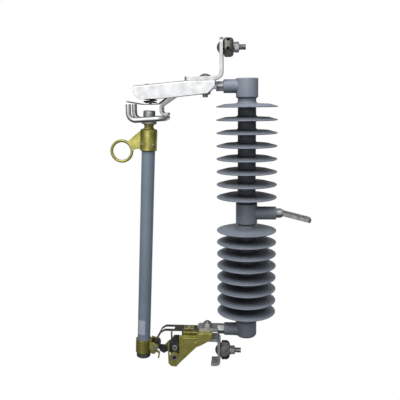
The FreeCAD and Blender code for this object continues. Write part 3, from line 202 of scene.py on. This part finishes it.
# What every finish shares
CLOUD_ENDS = (0.32, 0.68)  # Noise values of the darkest and of the lightest patches
CELL_SHARE = 0.3  # Share of the crystals in the patches
GRAIN_LAYERS = 3.0  # Finer layers of the surface grain
HOLLOW_ENDS = (0.15, 0.78)  # How open a hollow is where it is fully darkened by painted shade and dirt, and where it is untouched
HOLLOW_DARK_LEVEL = 0.15  # Brightness of the painted shade and dirt in hollows against the darker patches
OPEN_SHINE = 0.5  # Specular level of an open face; hollows lose it as painted shade
EDGE_SAMPLES = 8  # Rays that look for edges and hollows

# Where a mix node has its first input, its second input and its result
COLOUR_SOCKETS = (6, 7, 2)
NUMBER_SOCKETS = (2, 3, 0)


class Graph:
    """Adds nodes to one node tree and joins them."""

    def __init__(self, tree: bpy.types.NodeTree) -> None:
        """Keep the tree that the nodes go into."""
        self._tree = tree

    def feed(self, socket: bpy.types.NodeSocket, source: Source) -> None:
        """Join an input to another node's output, or set its value.

        Args:
            socket: The input.
            source: The output or the value.
        """
        if isinstance(source, bpy.types.NodeSocket):
            self._tree.links.new(source, socket)
        else:
            socket.default_value = source

    def node(self, kind: str, sources: Mapping[str | int, Source] | None = None) -> bpy.types.Node:
        """Add a node.

        Args:
            kind: The node's type, without the words that every type starts with.
            sources: What feeds each named or numbered input.

        Returns:
            The new node.
        """
        node = self._tree.nodes.new("ShaderNode" + kind)
        for key, source in (sources or {}).items():
            self.feed(node.inputs[key], source)
        return node

    def ranged(self, value: bpy.types.NodeSocket, ends: Pair = (0.0, 1.0),
               results: Pair = (0.0, 1.0)) -> bpy.types.NodeSocket:
        """Carry a value from one range to another.

        Args:
            value: The value.
            ends: The range that it comes from.
            results: What the two ends become.

        Returns:
            The new value.
        """
        node = self.node("MapRange", {"Value": value, "From Min": ends[0], "From Max": ends[1],
                                      "To Min": results[0], "To Max": results[1]})
        return node.outputs["Result"]

    def mixed(self, share: Source, first: Source, second: Source, colours: bool = True,
              blend: str = "MIX") -> bpy.types.NodeSocket:
        """Mix two colours or two numbers.

        Args:
            share: How much of the second one is taken.
            first: The first one.
            second: The second one.
            colours: False for numbers.
            blend: How two colours are combined.

        Returns:
            The result.
        """
        node = self.node("Mix")
        if colours:
            node.data_type, node.blend_type = "RGBA", blend
        low, high, result = COLOUR_SOCKETS if colours else NUMBER_SOCKETS
        for place, source in ((0, share), (low, first), (high, second)):
            self.feed(node.inputs[place], source)
        return node.outputs[result]


class MaterialShop:
    """Makes and keeps one procedural material for each slot."""

    def __init__(self) -> None:
        """Start with no material made."""
        self._made: dict[Slot, bpy.types.Material] = {}

    def get(self, slot: Slot) -> bpy.types.Material:
        """Return the slot's material, made on first use.

        Args:
            slot: The material slot.

        Returns:
            The material.
        """
        if slot not in self._made:
            self._made[slot] = self._make("finish_" + slot.value, FINISHES[slot])
        return self._made[slot]

    def _make(self, name: str, finish: Finish) -> bpy.types.Material:
        """Build the node tree of one finish.

        Args:
            name: The material's name.
            finish: How the surface looks.

        Returns:
            The material.
        """
        material = bpy.data.materials.new(name)
        material.use_nodes = True
        graph = Graph(material.node_tree)
        place = graph.node("TexCoord").outputs["Object"]
        patches = self._patches(graph, place, finish)
        colour = graph.mixed(patches, (*finish.dark, 1.0), (*finish.light, 1.0))
        surface = {"Metallic": finish.metal,
                   "Roughness": graph.ranged(patches, results=finish.rough[::-1]),
                   "Normal": self._normal(graph, place, finish)}
        # Hollows are darkened and lose their shine: painted shade, and on the metal parts dirt too
        if finish.dirt_and_shade:
            depth = self._darken_hollows(graph, finish)
            colour = graph.mixed(depth, colour, (*(HOLLOW_DARK_LEVEL * part for part in finish.dark), 1.0))
            surface["Specular IOR Level"] = graph.ranged(depth, results=(OPEN_SHINE, 0.0))
        surface["Base Color"] = colour
        shader = material.node_tree.nodes["Principled BSDF"]
        for key, source in surface.items():
            graph.feed(shader.inputs[key], source)
        return material

    @staticmethod
    def _patches(graph: Graph, place: bpy.types.NodeSocket, finish: Finish) -> bpy.types.NodeSocket:
        """Make a pattern of soft patches, with crystal cells on hot-dip zinc.

        Args:
            graph: Where the nodes go.
            place: The place on the object.
            finish: How the surface looks.

        Returns:
            The pattern, from 0 where it is darkest to 1.
        """
        cloud = graph.node("TexNoise", {"Vector": place, "Scale": 1.0 / finish.grain,
                                        "Detail": finish.cloud})
        spread = graph.ranged(cloud.outputs["Fac"], CLOUD_ENDS)
        if not finish.cells:
            return spread
        cells = graph.node("TexVoronoi", {"Vector": place, "Scale": 1.0 / finish.grain})
        split = graph.node("SeparateColor", {"Color": cells.outputs["Color"]})
        return graph.mixed(CELL_SHARE, spread, split.outputs["Red"], colours=False)

    @staticmethod
    def _darken_hollows(graph: Graph, finish: Finish) -> bpy.types.NodeSocket:
        """Find how far the hollows are darkened: painted shade, plus dirt on the metal parts.

        Args:
            graph: Where the nodes go.
            finish: How the surface looks.

        Returns:
            The share of painted shade and dirt, 0 on open faces.
        """
        hollow = graph.node("AmbientOcclusion", {"Distance": finish.hollow})
        hollow.samples = EDGE_SAMPLES
        return graph.ranged(hollow.outputs["AO"], HOLLOW_ENDS, (finish.dirt_and_shade, 0.0))

    @staticmethod
    def _normal(graph: Graph, place: bpy.types.NodeSocket, finish: Finish) -> bpy.types.NodeSocket:
        """Soften the edges and lay the fine grain over them.

        Args:
            graph: Where the nodes go.
            place: The place on the object.
            finish: How the surface looks.

        Returns:
            The direction that the surface faces.
        """
        grain = graph.node("TexNoise", {"Vector": place, "Scale": 1.0 / finish.bump_size,
                                        "Detail": GRAIN_LAYERS})
        bevel = graph.node("Bevel", {"Radius": finish.edge})
        bevel.samples = EDGE_SAMPLES
        bump = graph.node("Bump", {"Height": grain.outputs["Fac"], "Normal": bevel.outputs["Normal"],
                                   "Distance": finish.bump, "Strength": 1.0})
        return bump.outputs["Normal"]


# A corner is rounded within this share of each of its runs, and not at all where it turns less
MOST_TRIM = 0.48
LEAST_TURN = math.radians(1.0)
SHORTEST_RUN = 1e-6


def rounded_route(points: Sequence[Pair], radius: float, steps: int = 6) -> list[Pair]:
    """Round the corners of an open route.

    Args:
        points: Corners of the route.
        radius: Radius of each corner, less where a run is short.
        steps: Short runs in each rounded corner.

    Returns:
        The points of the rounded route.
    """
    corners = [Vector(point) for point in points]
    route = [tuple(corners[0])]
    for before, corner, after in zip(corners, corners[1:], corners[2:]):
        back, ahead = before - corner, after - corner
        if back.length < SHORTEST_RUN or ahead.length < SHORTEST_RUN:
            continue
        half = back.angle(ahead) / 2
        if math.pi - 2 * half < LEAST_TURN:
            route.append(tuple(corner))
            continue
        trim = min(radius / math.tan(half), MOST_TRIM * back.length, MOST_TRIM * ahead.length)
        first, last = corner + back.normalized() * trim, corner + ahead.normalized() * trim
        for step in range(steps + 1):
            share = step / steps
            left = 1 - share
            route.append(tuple(left ** 2 * first + 2 * share * left * corner + share ** 2 * last))
    route.append(tuple(corners[-1]))
    return route


def resampled(route: Sequence[Pair], step: float) -> list[Pair]:
    """Add points so that no run of a route is longer than a step.

    Args:
        route: Points of the route.
        step: Longest run allowed.

    Returns:
        The denser route.
    """
    dense = [route[0]]
    for start, end in zip(route, route[1:]):
        count = max(1, math.ceil(math.dist(start, end) / step))
        dense.extend(tuple(a + (b - a) * share / count for a, b in zip(start, end))
                     for share in range(1, count + 1))
    return dense


@dataclass
class Shape:
    """A mesh being put together in drawing millimetres.

    Attributes:
        points: Corners of the mesh.
        faces: Faces, as lists of corner numbers.
    """

    points: list[Vector] = field(default_factory=list)
    faces: list[list[int]] = field(default_factory=list)

    def loft(self, rings: Iterable[Sequence[Vector]], caps: bool = False) -> Shape:
        """Skin a run of rings that have the same number of points.

        Args:
            rings: The rings in order.
            caps: True to close both ends.

        Returns:
            This shape.
        """
        rows: list[list[int]] = []
        for ring in rings:
            rows.append(list(range(len(self.points), len(self.points) + len(ring))))
            self.points.extend(ring)
        for low, high in zip(rows, rows[1:]):
            count = len(low)
            for index in range(count):
                after = (index + 1) % count
                self.faces.append([low[index], low[after], high[after], high[index]])
        if caps:
            self.faces.append(rows[0][::-1])
            self.faces.append(rows[-1])
        return self

    def lathe(self, profile: Sequence[Pair], start: Vector, axis: Vector, segments: int) -> Shape:
        """Turn a profile of (radius, height) about an axis.

        Args:
            profile: The profile's points.
            start: The point of the axis at height zero.
            axis: The axis's direction.
            segments: Steps round the axis.

        Returns:
            This shape.
        """
        turn = UP.rotation_difference(axis.normalized())
        rings = []
        for radius, height in profile:
            ring = []
            for step in range(segments):
                angle = 2 * math.pi * step / segments
                out = Vector((radius * math.cos(angle), radius * math.sin(angle), height))
                ring.append(start + turn @ out)
            rings.append(ring)
        return self.loft(rings)

    def build(self, name: str, material: bpy.types.Material, slot: Slot, body: Body | None,
              smooth: float) -> bpy.types.Object:
        """Make the object, dress it and let it ride on its body.

        Args:
            name: The piece's name.
            material: The piece's material.
            slot: The record's slot that the finish comes from; not used.
            body: The moving group that carries the piece, or None where it bends between two.
            smooth: Angle in degrees under which edges are shaded smooth.

        Returns:
            The new object.
        """
        mesh = bpy.data.meshes.new(name)
        mesh.from_pydata([at(*point) for point in self.points], [], self.faces)
        mesh.validate()
        mesh.update()
        mesh.shade_smooth()
        mesh.set_sharp_from_angle(angle=math.radians(smooth))
        mesh.materials.append(material)
        thing = bpy.data.objects.new(name, mesh)
        bpy.context.scene.collection.objects.link(thing)
        if body:
            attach(thing, body.value)
        # The blank label isn't a node of the record, which has no slot for it
        return thing


@dataclass(frozen=True)
class SubAssembly:
    """A group of related pieces with a shared stock of materials.

    Attributes:
        shop: Where the materials come from.
    """

    shop: MaterialShop

    def add(self, shape: Shape, name: str, slot: Slot, body: Body | None = Body.FRAME,
            smooth: float = 40.0, finish: Slot | None = None) -> bpy.types.Object:
        """Build a shape in its slot's finish, or in another where its surface differs, and report it."""
        LOG.info("building %s", name)
        return shape.build(name, self.shop.get(finish or slot), slot, body, smooth)


@dataclass(frozen=True)
class Insulator(SubAssembly):
    """The moulded silicone housing: three hubs, three arms and two stacks of sheds.

    Attributes:
        neck: Radius between the sheds.
        hub: Radius of the hubs.
        rim: Radius of the sheds.
        edge: Radius of the sheds' rounded rim.
        thin: How far inside the rim a shed starts to thin out.
        flare: How far outside the neck a shed's root ends.
        lift: Height of a shed's middle surface above its rim.
        above: Half thickness above that surface at the neck, at the root's end and where it thins.
        below: The same below it.
        fillet: Radius of a shed's corners.
        arm: Radius of the arms.
        bore: Radius of the opening in an arm's end.
        sheds: Number of sheds in a stack.
        stacks: Height of each stack's top shed, and the step down to the next shed.
        arms: Height of each arm, how far it reaches and the side that it points to.
    """

    neck: float = 16.3
    hub: float = 19.6
    rim: float = 54.34
    edge: float = 1.1
    thin: float = 15.0
    flare: float = 2.6
    lift: float = 3.6
    above: Point = (5.0, 2.4, 1.4)
    below: Point = (5.2, 2.6, 1.4)
    fillet: float = 3.5
    arm: float = 12.0
    bore: float = 7.05
    sheds: int = 8
    stacks: tuple[Pair, Pair] = ((191.5, 23.1), (-32.0, 22.2))
    arms: tuple[Point, ...] = ((227.2, 41.5, -1), (-225.2, 41.5, -1), (0.0, 53.5, 1))

    def _shed(self, level: float) -> list[Pair]:
        """Outline one shed from its upper root to its lower root.

        Args:
            level: Height of the rim.

        Returns:
            The outline, as radius and height.
        """
        edge, lip, middle = self.edge, self.rim - self.edge, level + self.lift
        places = (self.neck, self.neck + self.flare, self.rim - self.thin)
        upper = [(place, middle + half) for place, half in zip(places, self.above)]
        lower = [(place, middle - half) for place, half in zip(places, self.below)]
        tip = [(lip + edge * math.sin(turn), level + edge * math.cos(turn))
               for turn in map(math.radians, range(20, 180, 20))]
        return (rounded_route([*upper, (lip, level + edge)], self.fillet, 4) + tip
                + rounded_route([(lip, level - edge), *lower[::-1]], self.fillet, 4))

    def _stack(self, top: float, step: float) -> list[Pair]:
        """Outline one stack of sheds, from its top shed's rim height and the step down to the next."""
        return [point for number in range(self.sheds) for point in self._shed(top - step * number)]

    def _profile(self) -> list[Pair]:
        """Outline the whole housing from top to bottom.

        Returns:
            The outline, as radius and height.
        """
        neck, hub = self.neck, self.hub
        top, shoulder, round_end = 240.7, -231.5, 6.5
        upper_hub = [(4.0, top), (hub, top), (hub, 207.9), (neck, 205.5), (neck, 201.0)]
        centre_hub = [(neck, 24.0), (neck, 20.4), (hub, 18.0), (hub, -18.0), (neck, -20.4), (neck, -22.0)]
        lower_hub = [(neck, -200.0), (neck, -206.0), (hub, -208.4), (hub, -224.0)]
        end = [(hub - round_end * (1 - math.cos(turn)), shoulder - round_end * math.sin(turn))
               for turn in map(math.radians, range(0, 91, 10))]
        return [(0.0, top), *rounded_route(upper_hub, 1.8, 5), *self._stack(*self.stacks[0]),
                *rounded_route(centre_hub, 1.2, 4), *self._stack(*self.stacks[1]),
                *rounded_route(lower_hub, 1.2, 4), *end, (0.0, shoulder - round_end)]

    def build(self) -> None:
        """Build the housing in place of the CAD one."""
        shape = Shape().lathe(self._profile(), Vector((0, 0, 0)), UP, 144)
        for level, reach, side in self.arms:
            # An arm is a little wider inside its hub, where the moulding's fillet starts
            arm = [(self.arm + 0.6, 14.0), (self.arm + 0.05, 24.0), (self.arm, reach), (self.bore, reach)]
            shape.lathe(rounded_route(arm, 1.5, 5), Vector((0, 0, level)), RIGHT * side, 72)
        housing = self.add(shape, "housing_moulding", Slot.HOUSING, smooth=50.0)
        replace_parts(housing, "insulator_housing")


@dataclass(frozen=True)
class UpperContact(SubAssembly):
    """The leaf that bends with the tube's cap, and the coil spring above it.

    Attributes:
        leaf: The leaf's corners from the hood to its tip, as X and height.
        leaf_size: Half the leaf's width and half its thickness.
        bend: Radius of the leaf's bends.
        axis: X of the spring's axis, which is also the tube's.
        low: Height where the spring stands on the leaf.
        high: Height where it ends under the hood.
        hold: Height of the hood's inside, which stays when the spring shortens; not used.
        radius: Radius of the coil's middle line.
        wire: Radius of the wire.
        turns: Number of turns.
    """

    leaf: tuple[Pair, ...] = ((-60.0, 233.35), (-97.0, 233.35), (-113.0, 228.75), (-145.0, 205.85),
                              (-157.0, 197.35), (-186.0, 197.35), (-213.3, 202.35))
    leaf_size: Pair = (12.0, 0.8)
    bend: float = 6.0
    axis: float = -172.0
    low: float = 199.5
    high: float = 227.2
    hold: float = 228.4
    radius: float = 11.4
    wire: float = 1.15
    turns: float = 5.6

    def build(self) -> None:
        """Build the leaf and the spring in place of the CAD ones."""
        route = resampled(rounded_route(self.leaf, self.bend), 2.0)
        strip = self.add(Shape().loft(self._sections(route, *self.leaf_size), caps=True), "contact_leaf",
                         Slot.COPPER, None)
        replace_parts(strip, "upper_contact_strip")
        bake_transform(strip)

        # The spring gets the dark casting finish for painted shade under the hood; its slot stays dark
        # steel
        spring = self.add(Shape().loft(self._coil(), caps=True), "coil_spring", Slot.DARK_STEEL,
                          smooth=60.0, finish=Slot.DARK_CASTING)
        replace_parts(spring, "contact_spring")
        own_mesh(spring)

    def _coil(self, steps: int = 40, sides: int = 12) -> list[list[Vector]]:
        """Wind the spring.

        Args:
            steps: Rings in each turn.
            sides: Points round the wire.

        Returns:
            The rings round the wire, from the leaf up.
        """
        rings = []
        for step in range(int(self.turns * steps) + 1):
            angle = 2 * math.pi * step / steps
            rise = self.low + (self.high - self.low) * step / (self.turns * steps)
            out = Vector((math.cos(angle), math.sin(angle), 0))
            centre = Vector((self.axis, 0, rise)) + out * self.radius
            rings.append([centre + self.wire * (out * math.cos(turn) + UP * math.sin(turn))
                          for turn in (2 * math.pi * side / sides for side in range(sides))])
        return rings

    @staticmethod
    def _sections(route: Sequence[Pair], half_width: float, half_thick: float) -> list[list[Vector]]:
        """Lay rectangles across a strip's route.

        Args:
            route: The strip's middle line, as X and height.
            half_width: Half the strip's width.
            half_thick: Half its thickness.

        Returns:
            The rectangles in order.
        """
        rings = []
        for index, (x, z) in enumerate(route):
            before, after = route[max(index - 1, 0)], route[min(index + 1, len(route) - 1)]
            along = Vector((after[0] - before[0], after[1] - before[1])).normalized()
            up = Vector((-along.y, 0, along.x)) * half_thick
            middle = Vector((x, 0, z))
            side = Vector((0, half_width, 0))
            rings.append([middle - side - up, middle + side - up, middle + side + up, middle - side + up])
        return rings


@dataclass(frozen=True)
class Bolts(SubAssembly):
    """Domed bolts with threaded ends, in place of the plain CAD ones.

    Attributes:
        shank: Radius of the shank and of the thread's crests.
        root: Radius of the thread's grooves.
        pitch: Distance from one crest to the next.
        crest: Width of a crest.
        tip: Length of the chamfer at the thread's end.
    """

    shank: float = 4.9
    root: float = 4.3
    pitch: float = 1.5
    crest: float = 0.3
    tip: float = 0.9

    def _bolt(self, name: str, seat: Point, axis: Vector, length: float, head: Pair, thread: float) -> None:
        """Build one bolt.

        Args:
            name: The CAD node that it replaces.
            seat: The middle of the face under its head.
            axis: The direction from the head to the thread's end.
            length: Length under the head, in millimetres.
            head: The head's radius and height.
            thread: Length of the visible thread.
        """
        radius, height = head
        dome = (radius ** 2 + height ** 2) / (2 * height)
        turns = [math.asin(radius / dome) * step / 12 for step in range(13)]
        profile = [(dome * math.sin(turn), dome - height - dome * math.cos(turn)) for turn in turns]
        rise = length - thread
        profile += [(radius, 0.0), (self.shank, 0.0), (self.shank, rise)]
        while rise < length - self.pitch - 0.1:
            profile += [(self.shank, rise + self.crest), (self.root, rise + 0.6 * self.pitch),
                        (self.shank, rise + self.pitch)]
            rise += self.pitch
        profile += [(self.shank, length - self.tip), (self.root - 0.1, length), (0.0, length)]
        shape = Shape().lathe(profile, Vector(seat), axis, 48)
        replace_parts(self.add(shape, name + "_body", Slot.DARK_STEEL, smooth=25.0), name)

    def build(self) -> None:
        """Build every bolt."""
        # The length is from the seat under the head, and the head is given by radius and height
        for name, seat, axis, length, head, thread in (
                ("hood_bolt", (-73.5, 0, 244.15), DOWN, 35.8, (11.2, 5.4), 12.0),
                ("hinge_bolt", (-73.5, 0, -246.3), UP, 35.75, (9.5, 3.6), 10.0),
                ("upper_clamp_bolt", (-47.5, 0, 293.3), RIGHT, 45.0, (10.08, 5.4), 18.0),
                ("lower_clamp_bolt", (-53.7, 0, -268.5), RIGHT, 44.0, (10.08, 5.4), 18.0)):
            self._bolt(name, seat, axis, length, head, thread)


@dataclass(frozen=True)
class Nuts(SubAssembly):
    """Chamfered hexagon nuts and split spring washers, in place of the plain CAD ones.

    Attributes:
        steps: Points round a nut.
        washer_steps: Pieces that a washer's ring is made of.
        flange_size: Radius of a flange at its seat and at its top.
        washer: A washer's inner radius, outer radius and thickness.
        split: Angles of a washer's two cut ends, in degrees from the front.
    """

    steps: int = 72
    washer_steps: int = 48
    flange_size: Pair = (10.0, 8.7)
    washer: Point = (5.4, 8.6, 1.6)
    split: Pair = (12.0, 28.0)

    def _nut(self, name: str, seat: Point, axis: Vector, facing: Vector, size: Pair,
             flange: float = 0.0) -> None:
        """Build one nut.

        Args:
            name: The CAD node that it replaces.
            seat: The middle of its seat.
            axis: The direction from its seat to its open end.
            facing: The direction that one of its flats faces.
            size: Its width across flats and its height.
            flange: Thickness of the round flange at its seat.
        """
        half, height = size[0] / 2, size[1]
        corners, wide, narrow = 1.2 * half, *self.flange_size
        # Each level's height, how far it may reach and whether it is a hexagon: both ends are chamfered
        if flange:
            levels = [(0.0, wide, False), (flange * 0.6, wide, False), (flange, narrow, False),
                      (flange, corners, True)]
        else:
            levels = [(0.0, 1.05 * half, True), (0.5, corners, True)]
        levels += [(height - 0.16 * half, corners, True), (height, 0.98 * half, True),
                   (height, 0.62 * half, True)]
        across = axis.cross(facing)
        rings = []
        for rise, limit, hexagon in levels:
            ring = []
            for step in range(self.steps):
                angle = 2 * math.pi * step / self.steps
                side = half / math.cos((angle + math.pi / 6) % (math.pi / 3) - math.pi / 6)
                reach = min(side, limit) if hexagon else limit
                out = facing * math.cos(angle) + across * math.sin(angle)
                ring.append(Vector(seat) + axis * rise + out * reach)
            rings.append(ring)
        self._place(name, rings, 25.0)

    def _washer(self, name: str, seat: Point, axis: Vector) -> None:
        """Build one spring washer, split on the viewer's side.

        Args:
            name: The CAD node that it replaces.
            seat: The middle of its lower face.
            axis: The direction across its thickness.
        """
        across = axis.cross(FRONT)
        bore, rim, thick = self.washer
        section = ((bore, 0.0), (rim, 0.0), (rim, thick), (bore, thick))
        end, start = self.split
        rings = []
        for step in range(self.washer_steps + 1):
            angle = math.radians(start + (360 + end - start) * step / self.washer_steps)
            out = FRONT * math.cos(angle) + across * math.sin(angle)
            rings.append([Vector(seat) + out * radius + axis * rise for radius, rise in section])
        self._place(name, rings, 40.0)

    def _place(self, name: str, rings: list[list[Vector]], smooth: float) -> None:
        """Skin the rings of one piece and put it in the CAD node's place.

        Args:
            name: The CAD node that it replaces.
            rings: The rings in order.
            smooth: Angle in degrees under which edges are shaded smooth.
        """
        piece = self.add(Shape().loft(rings, caps=True), name + "_body", Slot.GALVANISED,
                         smooth=smooth, finish=Slot.FORGED)
        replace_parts(piece, name)

    def build(self) -> None:
        """Build every nut and spring washer."""
        self._nut("hood_nut", (-73.5, 0, 220.95), DOWN, FRONT, (16.0, 8.0))
        self._nut("hinge_nut", (-73.5, 0, -220.55), UP, FRONT, (15.0, 7.2), 2.0)
        self._nut("upper_clamp_nut", (-21.9, 0, 293.3), RIGHT, FRONT, (16.0, 8.0))
        self._nut("lower_clamp_nut", (-29.1, 0, -268.5), RIGHT, FRONT, (16.0, 8.0))
        self._nut("tail_nut", (-134.5, -18.0, -257.5), FRONT, UP, (10.0, 2.4))
        self._washer("hood_washer", (-73.5, 0, 220.95), UP)
        self._washer("upper_clamp_washer", (-23.5, 0, 293.3), RIGHT)
        self._washer("lower_clamp_washer", (-30.7, 0, -268.5), RIGHT)


@dataclass(frozen=True)
class Label(SubAssembly):
    """The plain patch of a label on the tube.

    Attributes:
        lean: The tube's lean at rest, in degrees.
        toggle: X and height of the toggle pin's middle.
        throw: Distance from the toggle pin to the tube's axis.
        radius: Radius of the label, just outside the tube.
        levels: Heights of its lower edge, its middle and its upper edge along the tube.
        ends: Angles of its two side edges round the tube, 0 to the front.
    """

    lean: float = 3.0
    toggle: Pair = (-172.0, -259.2)
    throw: float = 25.5
    radius: float = 12.32
    levels: Point = (21.0, 35.0, 50.0)
    ends: Pair = (-98.0, 17.0)

    def build(self, steps: int = 24) -> None:
        """Build the label.

        Args:
            steps: Faces round the tube.
        """
        lean, (left, right) = math.radians(self.lean), self.ends
        along = Vector((math.sin(lean), 0, math.cos(lean)))
        across = Vector((math.cos(lean), 0, -math.sin(lean)))
        foot = Vector((self.toggle[0], 0, self.toggle[1])) - across * self.throw
        shape = Shape()
        for level in self.levels:
            for step in range(steps + 1):
                angle = math.radians(left + (right - left) * step / steps)
                out = across * math.sin(angle) + FRONT * math.cos(angle)
                shape.points.append(foot + along * level + out * self.radius)
        row = steps + 1
        for start in range(0, row * (len(self.levels) - 1), row):
            for corner in range(start, start + steps):
                shape.faces.append([corner, corner + 1, corner + row + 1, corner + row])
        self.add(shape, "tube_patch", Slot.LABEL, Body.HOLDER, 60.0)


@dataclass(frozen=True)
class Glow:
    """One part of the surround, given as brightness against direction.

    Attributes:
        heights: Brightness from straight down, at 0, to straight up, at 1.
        depths: Brightness from the viewer's side, at 0, to the far side, at 1.
        sides: Brightness from the left, at 0, to the right, at 1.
        strength: What the product of the three is multiplied by.
    """

    heights: Sequence[Pair]
    depths: Sequence[Pair]
    sides: Sequence[Pair]
    strength: float


GLOWS = (
    Glow(((0.0, 0.01), (0.3, 0.05), (0.41, 0.53), (0.6, 0.56), (0.78, 0.75), (0.88, 1.0), (1.0, 0.7)),
         ((0.0, 1.0), (0.12, 0.95), (0.35, 0.75), (0.5, 0.3), (0.65, 0.12), (1.0, 0.06)),
         ((0.0, 0.3), (0.2, 0.6), (0.36, 1.0), (0.52, 0.92), (0.66, 0.45), (1.0, 0.25)), 2.05),
    Glow(((0.0, 0.1), (0.25, 0.5), (0.43, 1.0), (0.5, 0.15), (1.0, 0.0)),
         ((0.0, 0.0), (0.6, 0.0), (0.85, 1.0), (1.0, 1.0)),
         ((0.0, 0.4), (0.5, 1.0), (1.0, 0.4)), 0.75),
)


@dataclass(frozen=True)
class Lamp:
    """A square lamp that shines on everything and shows in no reflection.

    Attributes:
        place: Where it hangs, in metres.
        size: Length of its sides, in metres.
        power: Its power, in watts.
    """

    place: Point
    size: float
    power: float


LAMPS = {
    "key": Lamp((-0.4, -0.55, 0.95), 0.6, 9.5),
    "side": Lamp((0.9, -0.5, 0.5), 0.5, 2.5),
    "back": Lamp((0.3, 1.2, 0.5), 0.8, 12.0),
    "top": Lamp((-0.1, 0.15, 1.0), 0.8, 3.0),
}


@dataclass(frozen=True)
class View:
    """The photograph's camera, as it was fitted to the picture.

    Attributes:
        target: The point in the middle of the picture, in drawing millimetres.
        distance: How far the camera is from it, in metres.
        pitch: Degrees that it looks down.
        roll: Degrees that the picture leans.
        azimuth: Degrees that it stands to the right of straight in front.
        focal: Focal length, in the picture's pixels.
        width: The picture's width, in pixels.
    """

    target: Point = (-85.05, 0, 23.73)
    distance: float = 0.98385
    pitch: float = 10.22
    roll: float = -0.643
    azimuth: float = 4.5
    focal: float = 536.87
    width: float = 400.0


@dataclass(frozen=True)
class Studio:
    """Light, background and camera of the photograph.

    Attributes:
        view: How the camera stands.
        middle: What the lamps are aimed at, in metres.
    """

    view: View = View()
    middle: Point = (-0.15, 0, 0.02)

    @staticmethod
    def _level(graph: Graph, along: bpy.types.NodeSocket, levels: Sequence[Pair]) -> bpy.types.NodeSocket:
        """Make a brightness that follows one coordinate of the direction.

        Args:
            graph: The world's nodes.
            along: The coordinate, from -1 to 1.
            levels: Pairs of place, from 0 at -1 to 1 at 1, and brightness.

        Returns:
            The brightness.
        """
        ramp = graph.node("ValToRGB", {"Fac": graph.ranged(along, (-1.0, 1.0))})
        stops = ramp.color_ramp.elements
        for stop, (position, level) in zip((stops[0], stops[1]), (levels[0], levels[-1])):
            stop.position, stop.color = position, (level, level, level, 1)
        for position, level in levels[1:-1]:
            stops.new(position).color = (level, level, level, 1)
        return ramp.outputs["Color"]

    def _sky(self, graph: Graph, direction: bpy.types.Node, glow: Glow) -> bpy.types.NodeSocket:
        """Make a background whose brightness follows the height, the depth and the side.

        Args:
            graph: The world's nodes.
            direction: The node that gives the direction's X, Y and Z.
            glow: How bright each direction is.

        Returns:
            The background's output.
        """
        level = self._level(graph, direction.outputs["Z"], glow.heights)
        for axis, levels in (("Y", glow.depths), ("X", glow.sides)):
            other = self._level(graph, direction.outputs[axis], levels)
            level = graph.mixed(1.0, level, other, blend="MULTIPLY")
        return graph.node("Background", {"Color": level, "Strength": glow.strength}).outputs["Background"]

    def world(self) -> None:
        """Make a surround that is bright in front and above, and plain white in the picture."""
        world = bpy.data.worlds.new("studio")
        bpy.context.scene.world = world
        world.use_nodes = True
        world.node_tree.nodes.clear()
        graph = Graph(world.node_tree)
        place = graph.node("TexCoord").outputs["Generated"]
        direction = graph.node("SeparateXYZ", {"Vector": place})
        both = graph.node("AddShader", dict(enumerate(self._sky(graph, direction, glow) for glow in GLOWS)))
        white = graph.node("Background", {"Color": (1, 1, 1, 1)})
        seen = graph.node("LightPath").outputs["Is Camera Ray"]
        mix = graph.node("MixShader", {0: seen, 1: both.outputs["Shader"], 2: white.outputs["Background"]})
        graph.node("OutputWorld", {"Surface": mix.outputs["Shader"]})

    def lamps(self) -> None:
        """Hang the lamps; metal mirrors only the surround."""
        for name, lamp in LAMPS.items():
            data = bpy.data.lights.new(name, "AREA")
            data.size, data.energy = lamp.size, lamp.power
            thing = bpy.data.objects.new(name, data)
            thing.location = lamp.place
            thing.visible_glossy = False
            aim = Vector(self.middle) - Vector(lamp.place)
            thing.rotation_euler = aim.to_track_quat("-Z", "Y").to_euler()
            bpy.context.scene.collection.objects.link(thing)

    def camera(self) -> None:
        """Set up the camera."""
        view = self.view
        pitch, roll, azimuth = (math.radians(angle) for angle in (view.pitch, view.roll, view.azimuth))
        back = Vector((math.sin(azimuth) * math.cos(pitch), -math.cos(azimuth) * math.cos(pitch),
                       math.sin(pitch)))
        level = Vector((math.cos(azimuth), math.sin(azimuth), 0))
        right = level * math.cos(roll) + back.cross(level) * math.sin(roll)
        data = bpy.data.cameras.new("camera")
        data.sensor_width = 36.0
        data.lens = data.sensor_width * view.focal / view.width
        data.clip_start, data.clip_end = 0.05, 20.0
        camera = bpy.data.objects.new("camera", data)
        matrix = Matrix((right, back.cross(right), back)).transposed().to_4x4()
        matrix.translation = at(*view.target) + back * view.distance
        camera.matrix_world = matrix
        bpy.context.scene.collection.objects.link(camera)
        bpy.context.scene.camera = camera

    def build(self) -> None:
        """Set up the whole studio."""
        scene = bpy.context.scene
        scene.view_settings.view_transform = "Standard"
        scene.view_settings.look = "None"
        self.world()
        self.lamps()
        self.camera()


def dress(frame: dict, shop: MaterialShop) -> None:
    """Give every CAD node its slot's finish.

    Args:
        shop: Where the materials come from.
    """
    slots = {row["node"]: Slot(row["material_slot"]) for row in frame["record"]["subparts"]}
    for name, node in frame["nodes"].items():
        node.data.materials.clear()
        node.data.materials.append(shop.get(OTHER_FINISHES.get(name, slots[name])))


def main() -> None:
    """Build the scene."""
    logging.basicConfig(level=logging.INFO)
    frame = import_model()
    shop = MaterialShop()
    dress(frame, shop)
    for group in (Insulator(shop), UpperContact(shop), Bolts(shop), Nuts(shop), Label(shop)):
        group.build()
        LOG.info("built %s", type(group).__name__)
    Studio().build()


if __name__ == "__main__":
    main()
